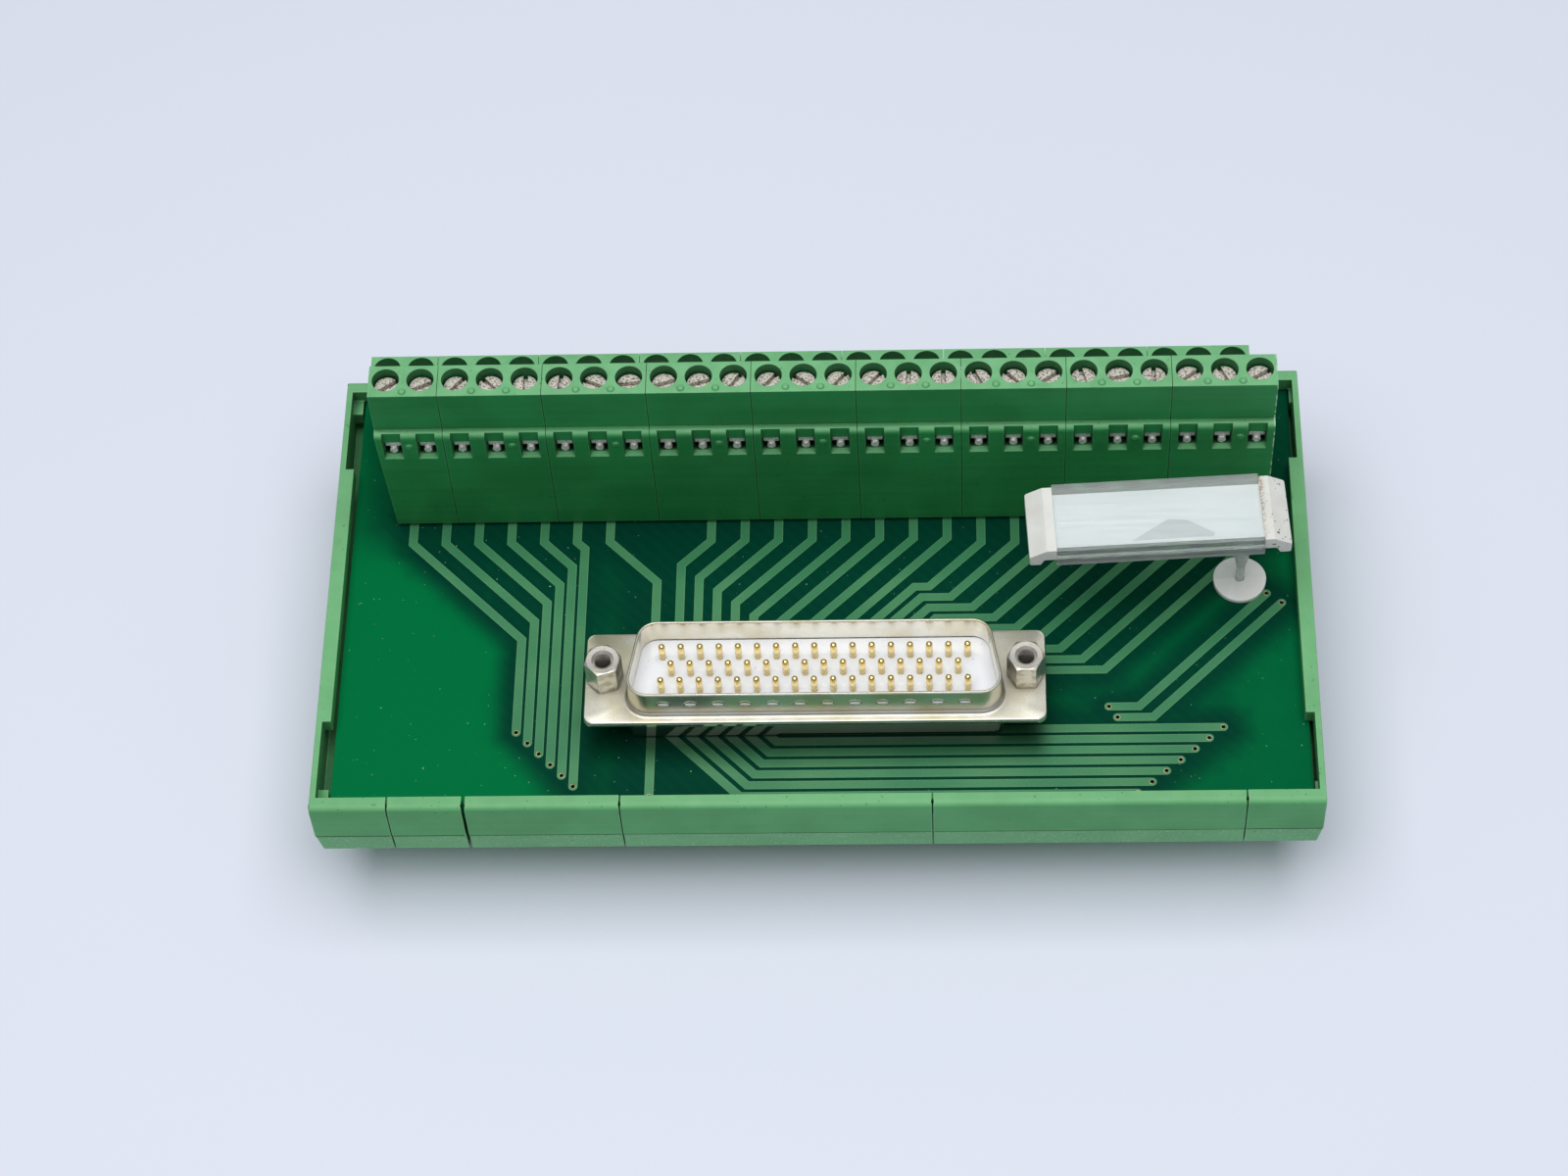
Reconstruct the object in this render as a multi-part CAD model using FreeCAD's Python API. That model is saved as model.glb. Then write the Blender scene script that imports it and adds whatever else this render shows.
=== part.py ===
import FreeCAD, Part
import math
import os
from FreeCAD import Vector

# Housing row: moulded elements side by side along X, on an 11.25 mm grid
side_width = 11.25
narrow_width = 11.25
medium_width = 22.5
wide_width = 45.0
joint_gap = 0.14
loose_gap = 0.3
housing_depth = 77.0

# Heights above the resting plane
board_top = 21.5
board_thickness = 1.6
rail_top = 24.4
rail_crease = 16.9
rail_bottom = 12.3

# Front and back rails with the groove that holds the board
lip_width = 2.2
lip_clearance = 0.3
groove_wall = 0.9
board_edge_clearance = 0.25
jaw_reach = 4.2
jaw_thickness = 1.4
rail_wall = 1.6
rail_undercut = 0.6
floor_thickness = 2.0
crease_step = 0.12
rail_edge_round = 1.0

# End walls of the side elements
end_wall = 0.9
side_lip_width = 1.3
side_lip_length = 45.2
side_lip_shift = -0.8
side_ledge_reach = 4.0
side_ledge_thickness = 2.4
side_ledge_drop = 1.9
board_side_clearance = 1.15
board_shift = 0.55
corner_block_depth = 3.95
corner_block_rise = 0.7
corner_block_clearance = 0.2

# Snap feet for a 35 mm top-hat rail
rail_width = 35.0
rail_flange = 1.0
rail_clearance = 0.2
foot_width = 20.0
foot_reach = 31.0
foot_plate = 2.0
foot_wall = 1.8
seat_height = 5.0
hook_overlap = 2.2
hook_drop = 2.0
hook_block = 7.0
tongue_width = 6.0
tongue_thickness = 1.6
tongue_head = 0.7
tongue_from_mid = 24.0
tongue_clearance = 0.15

# Sliding rail latch
latch_width = 9.0
latch_thickness = 2.6
latch_length = 21.5
latch_clearance = 0.12
latch_slot_length = 3.2
latch_slot_width = 5.0
latch_slot_wall = 1.8

# Double-level screw terminal blocks
pole_pitch = 5.08
block_start_x = -64.73
first_poles = 2
other_poles = 3
other_blocks = 8
block_gap = 0.08
block_from_back = 25.6
upper_setback = 1.35
upper_from_back = 18.7
lower_from_back = 5.7
upper_height = 31.5
shoulder_height = 23.4
shoulder_round = 1.0
lower_height = 16.5
level_shift_x = pole_pitch / 2
well_diameter = 4.0
upper_well_from_front = 2.55
lower_well_from_front = 2.25
well_depth = 7.0
cavity_width = 3.9
cavity_height = 8.4
entry_height = 4.2
entry_width = 3.8
cavity_back_wall = 2.0
cavity_front_wall = 0.8
window_width = 2.8
window_bottom = 17.8
window_depth = 0.6
window_sill_rise = 0.55
web_thickness = 0.3
web_bottom = 21.2
pocket_width = 2.6
pocket_bottom = 17.3
pocket_top = 21.5
end_draft = 0.9
foot_relief_height = 0.9
foot_relief_depth = 0.9
lower_shift_from_front = 5.5
pip_ball = 1.3
pip_height = 0.35
pip_from_face = 0.85
mark_ball = 1.6
mark_height = 0.3
mark_drop = 2.6

# Terminal screws, wire clamps and solder tails
screw_head_diameter = 3.5
screw_head_height = 1.5
upper_screw_sink = 1.7
lower_screw_sink = 3.5
screw_shank_diameter = 2.4
slot_width = 0.7
slot_depth = 0.8
upper_slot_turns = (35, 24, 51, -46, 90, 85, -24, 6, 18, 18, 56, 51, -36,
                    51, 51, 88, 90, -65, -46, 36, -74, 12, 90, 36, -65, 30)
lower_slot_turn = 47.0
clamp_width = 3.5
clamp_depth = 2.6
clamp_height = 6.4
clamp_wall = 0.7
clamp_roof = 1.4
clamp_lift = 0.6
tail_width = 1.0
tail_thickness = 0.8
stop_width = 2.4
stop_rise = 2.6
upper_stop_width = 2.3
upper_stop_height = 1.6
upper_stop_rise = 4.0
upper_stop_clearance = 0.1
boss_diameter = 1.2
boss_rise = 0.3
boss_height = 1.6
tail_protrusion = 2.2
tail_clearance = 0.1

# Fifty-way upright D connector
dsub_from_front = 19.45
flange_end_margin = 2.91
flange_depth = 15.37
flange_round = 1.3
flange_thickness = 0.5
flange_top = 7.0
shell_length = 55.2
shell_depth = 12.8
shell_height = 5.35
shell_wall = 0.45
shell_taper = 10.0
shell_round = 3.0
shell_foot_round = 0.75
rim_round_share = 0.4
dimple_count = 12
dimple_pitch = 3.95
dimple_diameter = 2.0
dimple_depth = 0.2
dimple_drop = 2.3
contact_pitch = 2.77
row_pitch = 2.84
outer_row_contacts = 17
contact_diameter = 1.02
contact_length = 3.3
insulator_rise = 1.0
insulator_depth = 11.6
insulator_round = 1.5
insulator_fit = 0.05
insulator_standoff = 0.3
rear_shell_wall = 0.4
rear_shell_height = 2.6
contact_tail_width = 0.6
contact_tail_clearance = 0.05
contact_tail_protrusion = 1.2
contact_tip = 0.5

# Jackscrews and the threaded spacers under the flange
jackscrew_from_shell = 2.955
jackscrew_across_flats = 4.8
left_jackscrew_turn = 16.0
right_jackscrew_turn = 0.0
jackscrew_height = 5.1
jackscrew_ring = 4.7
jackscrew_bevel = 30.0
jackscrew_mouth = 3.25
jackscrew_bore = 2.85
jackscrew_bore_depth = 4.6
jackscrew_shank = 2.25
jackscrew_grip = 5.0
flange_hole_clearance = 0.5
spacer_diameter = 5.0
spacer_clearance = 0.05

# Label holder on its swivel post
label_from_right = 10.425
label_from_block = 11.6
label_turn = 3.0
label_foot_diameter = 7.8
label_foot_thickness = 1.0
label_foot_fall = 0.35
label_peg_diameter = 3.2
label_peg_length = 2.4
label_peg_clearance = 0.05
post_pin_diameter = 1.3
post_pin_clearance = 0.05
post_pin_seat = 2.2
post_straight = 3.0
post_flare_diameter = 5.0
label_lift = 16.05
label_left_reach = 31.75
label_right_reach = 6.15
label_depth = 12.2
label_base_thickness = 0.9
label_height = 3.0
cover_thickness = 0.6
cover_depth = 10.9
cover_wall = 0.6
front_lip_width = 0.6
front_lip_rise = 0.8
cap_width = 3.9
cap_flat = 1.4
cap_fall = 1.45
cap_depth = 11.2
cap_foot_width = 1.6
cap_foot_drop = 1.1
cap_height = 2.2
cap_round = 0.3
insert_depth = 9.3
insert_shift = -0.15
insert_thickness = 0.2
insert_clearance = 0.05

# Copper tracks on the board
track_width = 1.32
via_diameter = 0.6
track_thickness = 0.08
track_lead = 3.2
lead_shift = 0.25
left_lead_x = -61.4
left_lead_pitch = 4.98
left_bundle_count = 6
left_bundle_x = -44.0
left_bundle_pitch = 1.75
left_bundle_end = 14.6
left_bundle_step = 1.85
lone_left_x = -24.15
lone_left_end = 3.6
middle_first_pole = 9
middle_count = 8
middle_first_x = -20.6
shelf_lead = 4.1
shelf_end_from_dsub = 6.55
shelf_drop = 11.95
shelf_pitch = 1.87
shelf_turn_x = 14.4
shelf_turn_step = 1.05
lower_bundle_count = 7
lower_bundle_end = 15.0
lower_bundle_first = 3.45
lower_bundle_pitch = 1.83
lower_bundle_via_x = 46.4
lower_bundle_via_step = 2.13
lower_bundle_turn_x = -11.0
lower_bundle_turn_step = 1.05
link_first_via = 30.425
link_first_row = 18.1
link_second_via = 29.225
link_second_row = 16.25
link_first_end = 37.6
link_second_end = 35.9
link_first_turn = 26.025
link_second_turn = 24.025

# Places that follow from the sizes above
half_depth = housing_depth / 2
total_width = 2 * side_width + narrow_width + medium_width + 2 * wide_width
half_width = total_width / 2
board_under = board_top - board_thickness
board_depth = housing_depth - 2 * (groove_wall + board_edge_clearance)
board_width = total_width - 2 * (end_wall + board_side_clearance)
floor_top = rail_bottom + floor_thickness
lip_under = board_top + lip_clearance
dsub_y = dsub_from_front - half_depth
label_x = half_width - label_from_right
label_y = half_depth - block_from_back - label_from_block


def from_front(distance):
    return distance - half_depth


def box(x0, x1, y0, y1, z0, z1):
    return Part.makeBox(x1 - x0, y1 - y0, z1 - z0, Vector(x0, y0, z0))


def rod(x, y, z0, z1, diameter):
    return Part.makeCylinder(diameter / 2, z1 - z0, Vector(x, y, z0))


def prism_x(points, x0, x1):
    """A closed outline in (y, z), drawn out along X."""
    corners = [Vector(x0, y, z) for y, z in points]
    face = Part.Face(Part.makePolygon(corners + corners[:1]))
    return face.extrude(Vector(x1 - x0, 0, 0))


def prism_y(points, y0, y1):
    """A closed outline in (x, z), drawn out along Y."""
    corners = [Vector(x, y0, z) for x, z in points]
    face = Part.Face(Part.makePolygon(corners + corners[:1]))
    return face.extrude(Vector(0, y1 - y0, 0))


def prism_z(points, z0, z1):
    """A closed outline in (x, y), drawn up along Z."""
    corners = [Vector(x, y, z0) for x, y in points]
    face = Part.Face(Part.makePolygon(corners + corners[:1]))
    return face.extrude(Vector(0, 0, z1 - z0))


def rounded(shape, radius, wanted):
    edges = [edge for edge in shape.Edges if wanted(edge)]
    return shape.makeFillet(radius, edges)


def upright(edge):
    first, last = edge.Vertexes[0].Point, edge.Vertexes[-1].Point
    level = math.hypot(first.x - last.x, first.y - last.y)
    return level < 1e-6 and abs(first.z - last.z) > 1e-6


def along_x_at(y, z):
    """Picks the edges parallel to X that lie on the line (y, z)."""
    def wanted(edge):
        ends = [vertex.Point for vertex in edge.Vertexes]
        return all(abs(p.y - y) < 1e-4 and abs(p.z - z) < 1e-4 for p in ends)
    return wanted


def save(name, shape):
    shape.exportStep("parts/" + name + ".step")


def group(shapes):
    return Part.makeCompound(shapes)


# Housing elements
def channel_outline():
    front = [
        (-half_depth + crease_step, rail_crease),
        (-half_depth, rail_crease),
        (-half_depth, rail_top),
        (-half_depth + lip_width, rail_top),
        (-half_depth + lip_width, lip_under),
        (-half_depth + groove_wall, lip_under),
        (-half_depth + groove_wall, board_under),
        (-half_depth + jaw_reach, board_under),
        (-half_depth + jaw_reach, board_under - jaw_thickness),
        (-half_depth + rail_wall, board_under - jaw_thickness - (jaw_reach - rail_wall)),
        (-half_depth + rail_wall, floor_top),
    ]
    back = [(-y, z) for y, z in reversed(front)]
    bottom = [
        (half_depth - rail_undercut, rail_bottom),
        (-half_depth + rail_undercut, rail_bottom),
    ]
    return front + back + bottom


def end_outline():
    return [
        (-half_depth + crease_step, rail_crease),
        (-half_depth, rail_crease),
        (-half_depth, rail_top),
        (half_depth, rail_top),
        (half_depth, rail_crease),
        (half_depth - crease_step, rail_crease),
        (half_depth - rail_undercut, rail_bottom),
        (-half_depth + rail_undercut, rail_bottom),
    ]


def soften_rails(shape):
    for y in (-half_depth, half_depth):
        shape = rounded(shape, rail_edge_round, along_x_at(y, rail_top))
    return shape


def tongue_slots(foot_x):
    """Floor slots that the two snap tongues of a foot pass through."""
    slots = []
    for side in (-1, 1):
        y = side * tongue_from_mid
        half_x = tongue_width / 2 + tongue_clearance
        half_y = tongue_thickness / 2 + tongue_clearance
        slots.append(box(foot_x - half_x, foot_x + half_x, y - half_y, y + half_y,
                         rail_bottom, floor_top))
    return slots


def base_element(x0, width, foot_x=None, slack=0):
    shape = prism_x(channel_outline(), x0 + joint_gap / 2, x0 + width - joint_gap / 2 - slack)
    shape = soften_rails(shape)
    if foot_x is not None:
        for slot in tongue_slots(foot_x):
            shape = shape.cut(slot)
    return shape


def side_element(hand):
    """An end element, built for the right hand side and mirrored for the left."""
    inner = half_width - side_width + joint_gap / 2
    wall_inside = half_width - end_wall
    board_edge = board_width / 2 + hand * board_shift
    shape = soften_rails(prism_x(channel_outline(), inner, wall_inside))
    shape = shape.fuse(soften_rails(prism_x(end_outline(), wall_inside, half_width)))
    lip = box(wall_inside - side_lip_width, wall_inside,
              side_lip_shift - side_lip_length / 2, side_lip_shift + side_lip_length / 2,
              lip_under, rail_top)
    ledge = box(wall_inside - side_ledge_reach, wall_inside,
                -half_depth + rail_wall, half_depth - rail_wall,
                board_under - side_ledge_drop - side_ledge_thickness, board_under - side_ledge_drop)
    shape = shape.fuse(lip).fuse(ledge)
    for side in (-1, 1):
        near = side * (half_depth - groove_wall)
        far = near - side * corner_block_depth
        shape = shape.fuse(box(board_edge + corner_block_clearance, wall_inside,
                               min(near, far), max(near, far), board_under,
                               board_top + corner_block_rise))
    shape = shape.cut(prism_y([(half_width, rail_crease), (half_width, rail_bottom),
                               (half_width - rail_undercut, rail_bottom)], -half_depth, half_depth))
    shape = shape.removeSplitter()
    if hand < 0:
        shape = shape.mirror(Vector(0, 0, 0), Vector(1, 0, 0))
    return shape


x = -half_width
os.makedirs("parts", exist_ok=True)
save("side_element_left", side_element(-1))
x += side_width
save("base_element_narrow", base_element(x, narrow_width, slack=loose_gap))
x += narrow_width
left_foot_x = x + medium_width / 2
save("base_element_medium", base_element(x, medium_width, left_foot_x))
x += medium_width
save("base_element_wide_left", base_element(x, wide_width))
x += wide_width
right_foot_x = x + wide_width / 2
save("base_element_wide_right", base_element(x, wide_width, right_foot_x))
save("side_element_right", side_element(1))


# Rail feet and their latches
hook_top = seat_height - rail_flange - rail_clearance
hook_bottom = hook_top - hook_drop
rail_edge = rail_width / 2
channel_start = rail_edge + rail_clearance
latch_bottom = hook_bottom
latch_top = latch_bottom + latch_thickness
latch_nose = rail_edge - hook_overlap


def rail_foot(foot_x):
    """One moulding: plate, rail seat, fixed hook and the guide of the latch."""
    x0, x1 = foot_x - foot_width / 2, foot_x + foot_width / 2
    outline = [
        (-foot_reach, rail_bottom),
        (-foot_reach, rail_bottom - foot_plate),
        (-rail_edge - rail_clearance - hook_block, rail_bottom - foot_plate),
        (-rail_edge - rail_clearance - hook_block, 0),
        (-rail_edge - rail_clearance, 0),
        (-rail_edge + hook_overlap, hook_bottom),
        (-rail_edge + hook_overlap, hook_top),
        (-rail_edge - rail_clearance, hook_top),
        (-rail_edge - rail_clearance, seat_height),
        (channel_start, seat_height),
        (channel_start, 0),
        (foot_reach, 0),
        (foot_reach, rail_bottom),
    ]
    shape = prism_x(outline, x0, x1)
    half_guide = latch_width / 2 + latch_clearance
    shape = shape.cut(box(foot_x - half_guide, foot_x + half_guide, channel_start, foot_reach,
                          latch_bottom - latch_clearance, latch_top + latch_clearance))
    pocket_floor = seat_height + foot_wall
    for side in (-1, 1):
        inner = foot_x + side * foot_wall / 2
        outer = foot_x + side * (foot_width / 2 - foot_wall)
        shape = shape.cut(box(min(inner, outer), max(inner, outer),
                              -rail_edge + foot_wall, rail_edge - foot_wall,
                              pocket_floor, rail_bottom))
    for side in (-1, 1):
        y0 = side * tongue_from_mid - tongue_thickness / 2
        y1 = y0 + tongue_thickness
        tongue = box(foot_x - tongue_width / 2, foot_x + tongue_width / 2, y0, y1,
                     rail_bottom, floor_top)
        edge = y1 if side > 0 else y0
        head = prism_x([(y0, floor_top), (edge + side * (tongue_head + tongue_clearance), floor_top),
                        (edge, floor_top + 2 * tongue_head), (y0, floor_top + 2 * tongue_head)]
                       if side > 0 else
                       [(y1, floor_top), (edge + side * (tongue_head + tongue_clearance), floor_top),
                        (edge, floor_top + 2 * tongue_head), (y1, floor_top + 2 * tongue_head)],
                       foot_x - tongue_width / 2, foot_x + tongue_width / 2)
        shape = shape.fuse(tongue).fuse(head)
    return shape.removeSplitter()


def rail_latch(foot_x):
    """A flat slide with a bevelled nose under the rail and a pry slot outside."""
    end = latch_nose + latch_length
    outline = [
        (latch_nose, latch_top - latch_thickness / 3),
        (latch_nose, hook_top),
        (channel_start, hook_top),
        (channel_start, latch_top),
        (end, latch_top),
        (end, latch_bottom),
        (latch_nose + latch_thickness / 2, latch_bottom),
    ]
    shape = prism_x(outline, foot_x - latch_width / 2, foot_x + latch_width / 2)
    slot = box(foot_x - latch_slot_width / 2, foot_x + latch_slot_width / 2,
               end - latch_slot_wall - latch_slot_length, end - latch_slot_wall,
               latch_bottom, latch_top)
    return shape.cut(slot)


for name, foot_x in (("left", left_foot_x), ("right", right_foot_x)):
    save("rail_foot_" + name, rail_foot(foot_x))
    save("rail_latch_" + name, rail_latch(foot_x))


# Pole positions of the terminal row
pole_count = first_poles + other_blocks * other_poles
upper_pole_x = [block_start_x + pole_pitch * (k + 0.5) for k in range(pole_count)]
lower_pole_x = [x - level_shift_x for x in upper_pole_x]
back_y = half_depth - block_from_back
upper_face_y = back_y + upper_setback
upper_front_y = half_depth - upper_from_back
lower_front_y = half_depth - lower_from_back
upper_well_y = upper_front_y - upper_well_from_front
lower_well_y = lower_front_y - lower_well_from_front
upper_top = board_top + upper_height
lower_top = board_top + lower_height
upper_cavity_top = upper_top - well_depth
lower_cavity_top = lower_top - well_depth


def tail_slot(x, well_y, z0, z1):
    """Clear way for one flat solder tail between two heights."""
    half_x = tail_width / 2 + tail_clearance
    y1 = well_y - clamp_depth / 2 + tail_clearance
    y0 = y1 - tail_thickness - 2 * tail_clearance
    return box(x - half_x, x + half_x, y0, y1, z0, z1)


def pole_hollow(x, well_y, front_y, top, back_wall_y):
    """Screw well, clamp room, wire entry and tail slot of one pole."""
    cavity_top = top - well_depth
    cavity_bottom = cavity_top - cavity_height
    room = box(x - cavity_width / 2, x + cavity_width / 2, back_wall_y,
               front_y - cavity_front_wall, cavity_bottom, cavity_top)
    entry_middle = cavity_bottom + clamp_lift + (clamp_height - clamp_roof) / 2
    entry = box(x - entry_width / 2, x + entry_width / 2, well_y, front_y,
                entry_middle - entry_height / 2, entry_middle + entry_height / 2)
    well = rod(x, well_y, cavity_top, top, well_diameter)
    slot = tail_slot(x, well_y, board_top, cavity_bottom)
    return room.fuse(entry).fuse(well).fuse(slot)


def pole_window(x):
    """Notch in the shoulder with a sloped sill, and the pocket of the wire stop behind its web."""
    notch_y = back_y + window_depth
    pocket_y = notch_y + web_thickness
    room_y = back_y + cavity_back_wall
    sill = board_top + window_bottom + window_sill_rise
    notch = prism_x([
        (back_y, board_top + window_bottom),
        (notch_y, sill),
        (notch_y, board_top + shoulder_height),
        (back_y, board_top + shoulder_height),
    ], x - window_width / 2, x + window_width / 2)
    pocket = prism_x([
        (notch_y, sill),
        (notch_y, board_top + web_bottom),
        (pocket_y, board_top + web_bottom),
        (pocket_y, board_top + pocket_top),
        (room_y, board_top + pocket_top),
        (room_y, board_top + pocket_bottom),
        (pocket_y, board_top + pocket_bottom),
        (pocket_y, sill),
    ], x - pocket_width / 2, x + pocket_width / 2)
    return notch.fuse(pocket)


def terminal_block(first, poles):
    """Stepped double-level housing: the front of the lower level stands half a pitch aside."""
    x0 = block_start_x + pole_pitch * first + block_gap / 2
    x1 = block_start_x + pole_pitch * (first + poles) - block_gap / 2
    column = prism_x([
        (back_y, board_top),
        (back_y, board_top + shoulder_height),
        (upper_face_y, board_top + shoulder_height),
        (upper_face_y, upper_top),
        (upper_front_y, upper_top),
        (upper_front_y, board_top),
    ], x0, x1)
    column = rounded(column, shoulder_round, along_x_at(back_y, board_top + shoulder_height))
    shift_y = lower_front_y - lower_shift_from_front
    step = box(x0, x1, upper_front_y, shift_y - block_gap, board_top, lower_top)
    bridge = box(x0, x1 - level_shift_x, shift_y - block_gap, shift_y, board_top, lower_top)
    front = box(x0 - level_shift_x, x1 - level_shift_x, shift_y, lower_front_y, board_top, lower_top)
    shape = column.fuse(step).fuse(bridge).fuse(front).removeSplitter()
    hollows = [box(x0, x1, back_y, back_y + foot_relief_depth, board_top, board_top + foot_relief_height)]
    if first == 0:
        hollows.append(prism_y([(x0, board_top), (x0 + end_draft, board_top),
                                (x0, board_top + shoulder_height)], back_y, shift_y))
    for k in range(first, first + poles):
        hollows.append(pole_hollow(upper_pole_x[k], upper_well_y, upper_front_y, upper_top,
                                   back_y + cavity_back_wall))
        hollows.append(pole_hollow(lower_pole_x[k], lower_well_y, lower_front_y, lower_top,
                                   lower_well_y - clamp_depth / 2 - tail_thickness - tail_clearance))
        hollows.append(pole_window(upper_pole_x[k]))
    shape = shape.cut(group(hollows))
    for k in range(first + 1, first + poles):
        pip = Vector(block_start_x + pole_pitch * k, upper_face_y + pip_from_face,
                     upper_top + pip_height - pip_ball / 2)
        shape = shape.fuse(Part.makeSphere(pip_ball / 2, pip))
    mark = Vector(block_start_x + pole_pitch * (first + poles - 1),
                  back_y - mark_height + mark_ball / 2, board_top + shoulder_height - mark_drop)
    return shape.fuse(Part.makeSphere(mark_ball / 2, mark))


first = 0
for number in range(1 + other_blocks):
    poles = first_poles if number == 0 else other_poles
    save("terminal_block_%d" % (number + 1), terminal_block(first, poles))
    first += poles


# Screws, wire clamps and solder tails of both levels
def terminal_screw(x, y, head_top, cavity_top, turn):
    """Slotted screw whose shank ends in the roof of the wire clamp."""
    head = rod(x, y, head_top - screw_head_height, head_top, screw_head_diameter)
    clamp_top = cavity_top - cavity_height + clamp_lift + clamp_height
    shank = rod(x, y, clamp_top, head_top - screw_head_height, screw_shank_diameter)
    slot = box(x - screw_head_diameter, x + screw_head_diameter, y - slot_width / 2,
               y + slot_width / 2, head_top - slot_depth, head_top)
    slot.rotate(Vector(x, y, 0), Vector(0, 0, 1), turn)
    return head.fuse(shank).cut(slot)


def wire_clamp(x, y, cavity_top):
    """Lifting cage, open along Y for the wire."""
    z0 = cavity_top - cavity_height + clamp_lift
    cage = box(x - clamp_width / 2, x + clamp_width / 2, y - clamp_depth / 2, y + clamp_depth / 2,
               z0, z0 + clamp_height)
    return cage.cut(box(x - clamp_width / 2 + clamp_wall, x + clamp_width / 2 - clamp_wall,
                        y - clamp_depth / 2, y + clamp_depth / 2,
                        z0 + clamp_wall, z0 + clamp_height - clamp_roof))


def tail_leg(x, y, bar_bottom, bar_start):
    """Flat bar under the wire and the leg through the board."""
    tail_y = y - clamp_depth / 2 - tail_thickness
    bar = box(x - tail_width / 2, x + tail_width / 2, bar_start, y + clamp_depth / 2,
              bar_bottom, bar_bottom + tail_thickness)
    leg = box(x - tail_width / 2, x + tail_width / 2, tail_y, tail_y + tail_thickness,
              board_under - tail_protrusion, bar_bottom)
    return bar.fuse(leg)


def lower_tail(x, y, bar_bottom):
    """Tail with a plain wire stop behind the cage."""
    tail_y = y - clamp_depth / 2 - tail_thickness
    stop = box(x - stop_width / 2, x + stop_width / 2, tail_y, tail_y + tail_thickness,
               bar_bottom, bar_bottom + stop_rise)
    return tail_leg(x, y, bar_bottom, tail_y).fuse(stop).removeSplitter()


def upper_tail(x, y, bar_bottom):
    """Tail with a T-shaped stop and a round boss, which show in the window."""
    stop_y = back_y + window_depth + web_thickness + upper_stop_clearance
    stop_top = bar_bottom + upper_stop_rise
    neck = box(x - tail_width / 2, x + tail_width / 2, stop_y, stop_y + tail_thickness,
               bar_bottom, stop_top)
    strip = box(x - upper_stop_width / 2, x + upper_stop_width / 2, stop_y, stop_y + tail_thickness,
                stop_top - upper_stop_height, stop_top)
    boss = Part.makeCylinder(boss_diameter / 2, boss_rise + tail_thickness / 2,
                             Vector(x, stop_y - boss_rise, bar_bottom + boss_height), Vector(0, 1, 0))
    return tail_leg(x, y, bar_bottom, stop_y).fuse(neck).fuse(strip).fuse(boss).removeSplitter()


levels = (
    ("upper", upper_pole_x, upper_well_y, upper_top - upper_screw_sink, upper_cavity_top, upper_tail),
    ("lower", lower_pole_x, lower_well_y, lower_top - lower_screw_sink, lower_cavity_top, lower_tail),
)
board_holes = []
for level, pole_x, well_y, head_top, cavity_top, tail in levels:
    bar_bottom = cavity_top - cavity_height + clamp_lift + clamp_wall
    screws = []
    clamps = []
    tails = []
    for k, x in enumerate(pole_x):
        turn = upper_slot_turns[k % len(upper_slot_turns)]
        if level == "lower":
            turn = lower_slot_turn * (k * k + 3 * k)
        screws.append(terminal_screw(x, well_y, head_top, cavity_top, turn))
        clamps.append(wire_clamp(x, well_y, cavity_top))
        tails.append(tail(x, well_y, bar_bottom))
        board_holes.append(tail_slot(x, well_y, board_under, board_top))
    save(level + "_terminal_screws", group(screws))
    save(level + "_wire_clamps", group(clamps))
    save(level + "_solder_tails", group(tails))


# D connector
dsub_flange_top = board_top + flange_top
front_flange_under = dsub_flange_top - flange_thickness
rear_flange_under = front_flange_under - flange_thickness
insulator_top = front_flange_under
insulator_face = dsub_flange_top + insulator_rise
insulator_bottom = board_top + insulator_standoff
shell_rim = dsub_flange_top + shell_height
jackscrew_x = shell_length / 2 + jackscrew_from_shell
flange_length = 2 * (jackscrew_x + flange_end_margin)
insulator_length = shell_length


def d_block(inset, z0, z1):
    """D-shaped block, wide towards the front, drawn in by an inset all round."""
    slope = math.tan(math.radians(shell_taper))
    half_front = shell_length / 2 - inset
    half_y = shell_depth / 2 - inset
    half_back = half_front - 2 * half_y * slope
    corners = [(-half_front, dsub_y - half_y), (half_front, dsub_y - half_y),
               (half_back, dsub_y + half_y), (-half_back, dsub_y + half_y)]
    return rounded(prism_z(corners, z0, z1), shell_round - inset, upright)


def round_plate(length, depth, radius, z0, z1):
    plate = box(-length / 2, length / 2, dsub_y - depth / 2, dsub_y + depth / 2, z0, z1)
    return rounded(plate, radius, upright)


def flange_holes(z0, z1):
    diameter = jackscrew_shank + 2 * flange_hole_clearance
    return [rod(side * jackscrew_x, dsub_y, z0, z1, diameter) for side in (-1, 1)]


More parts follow.
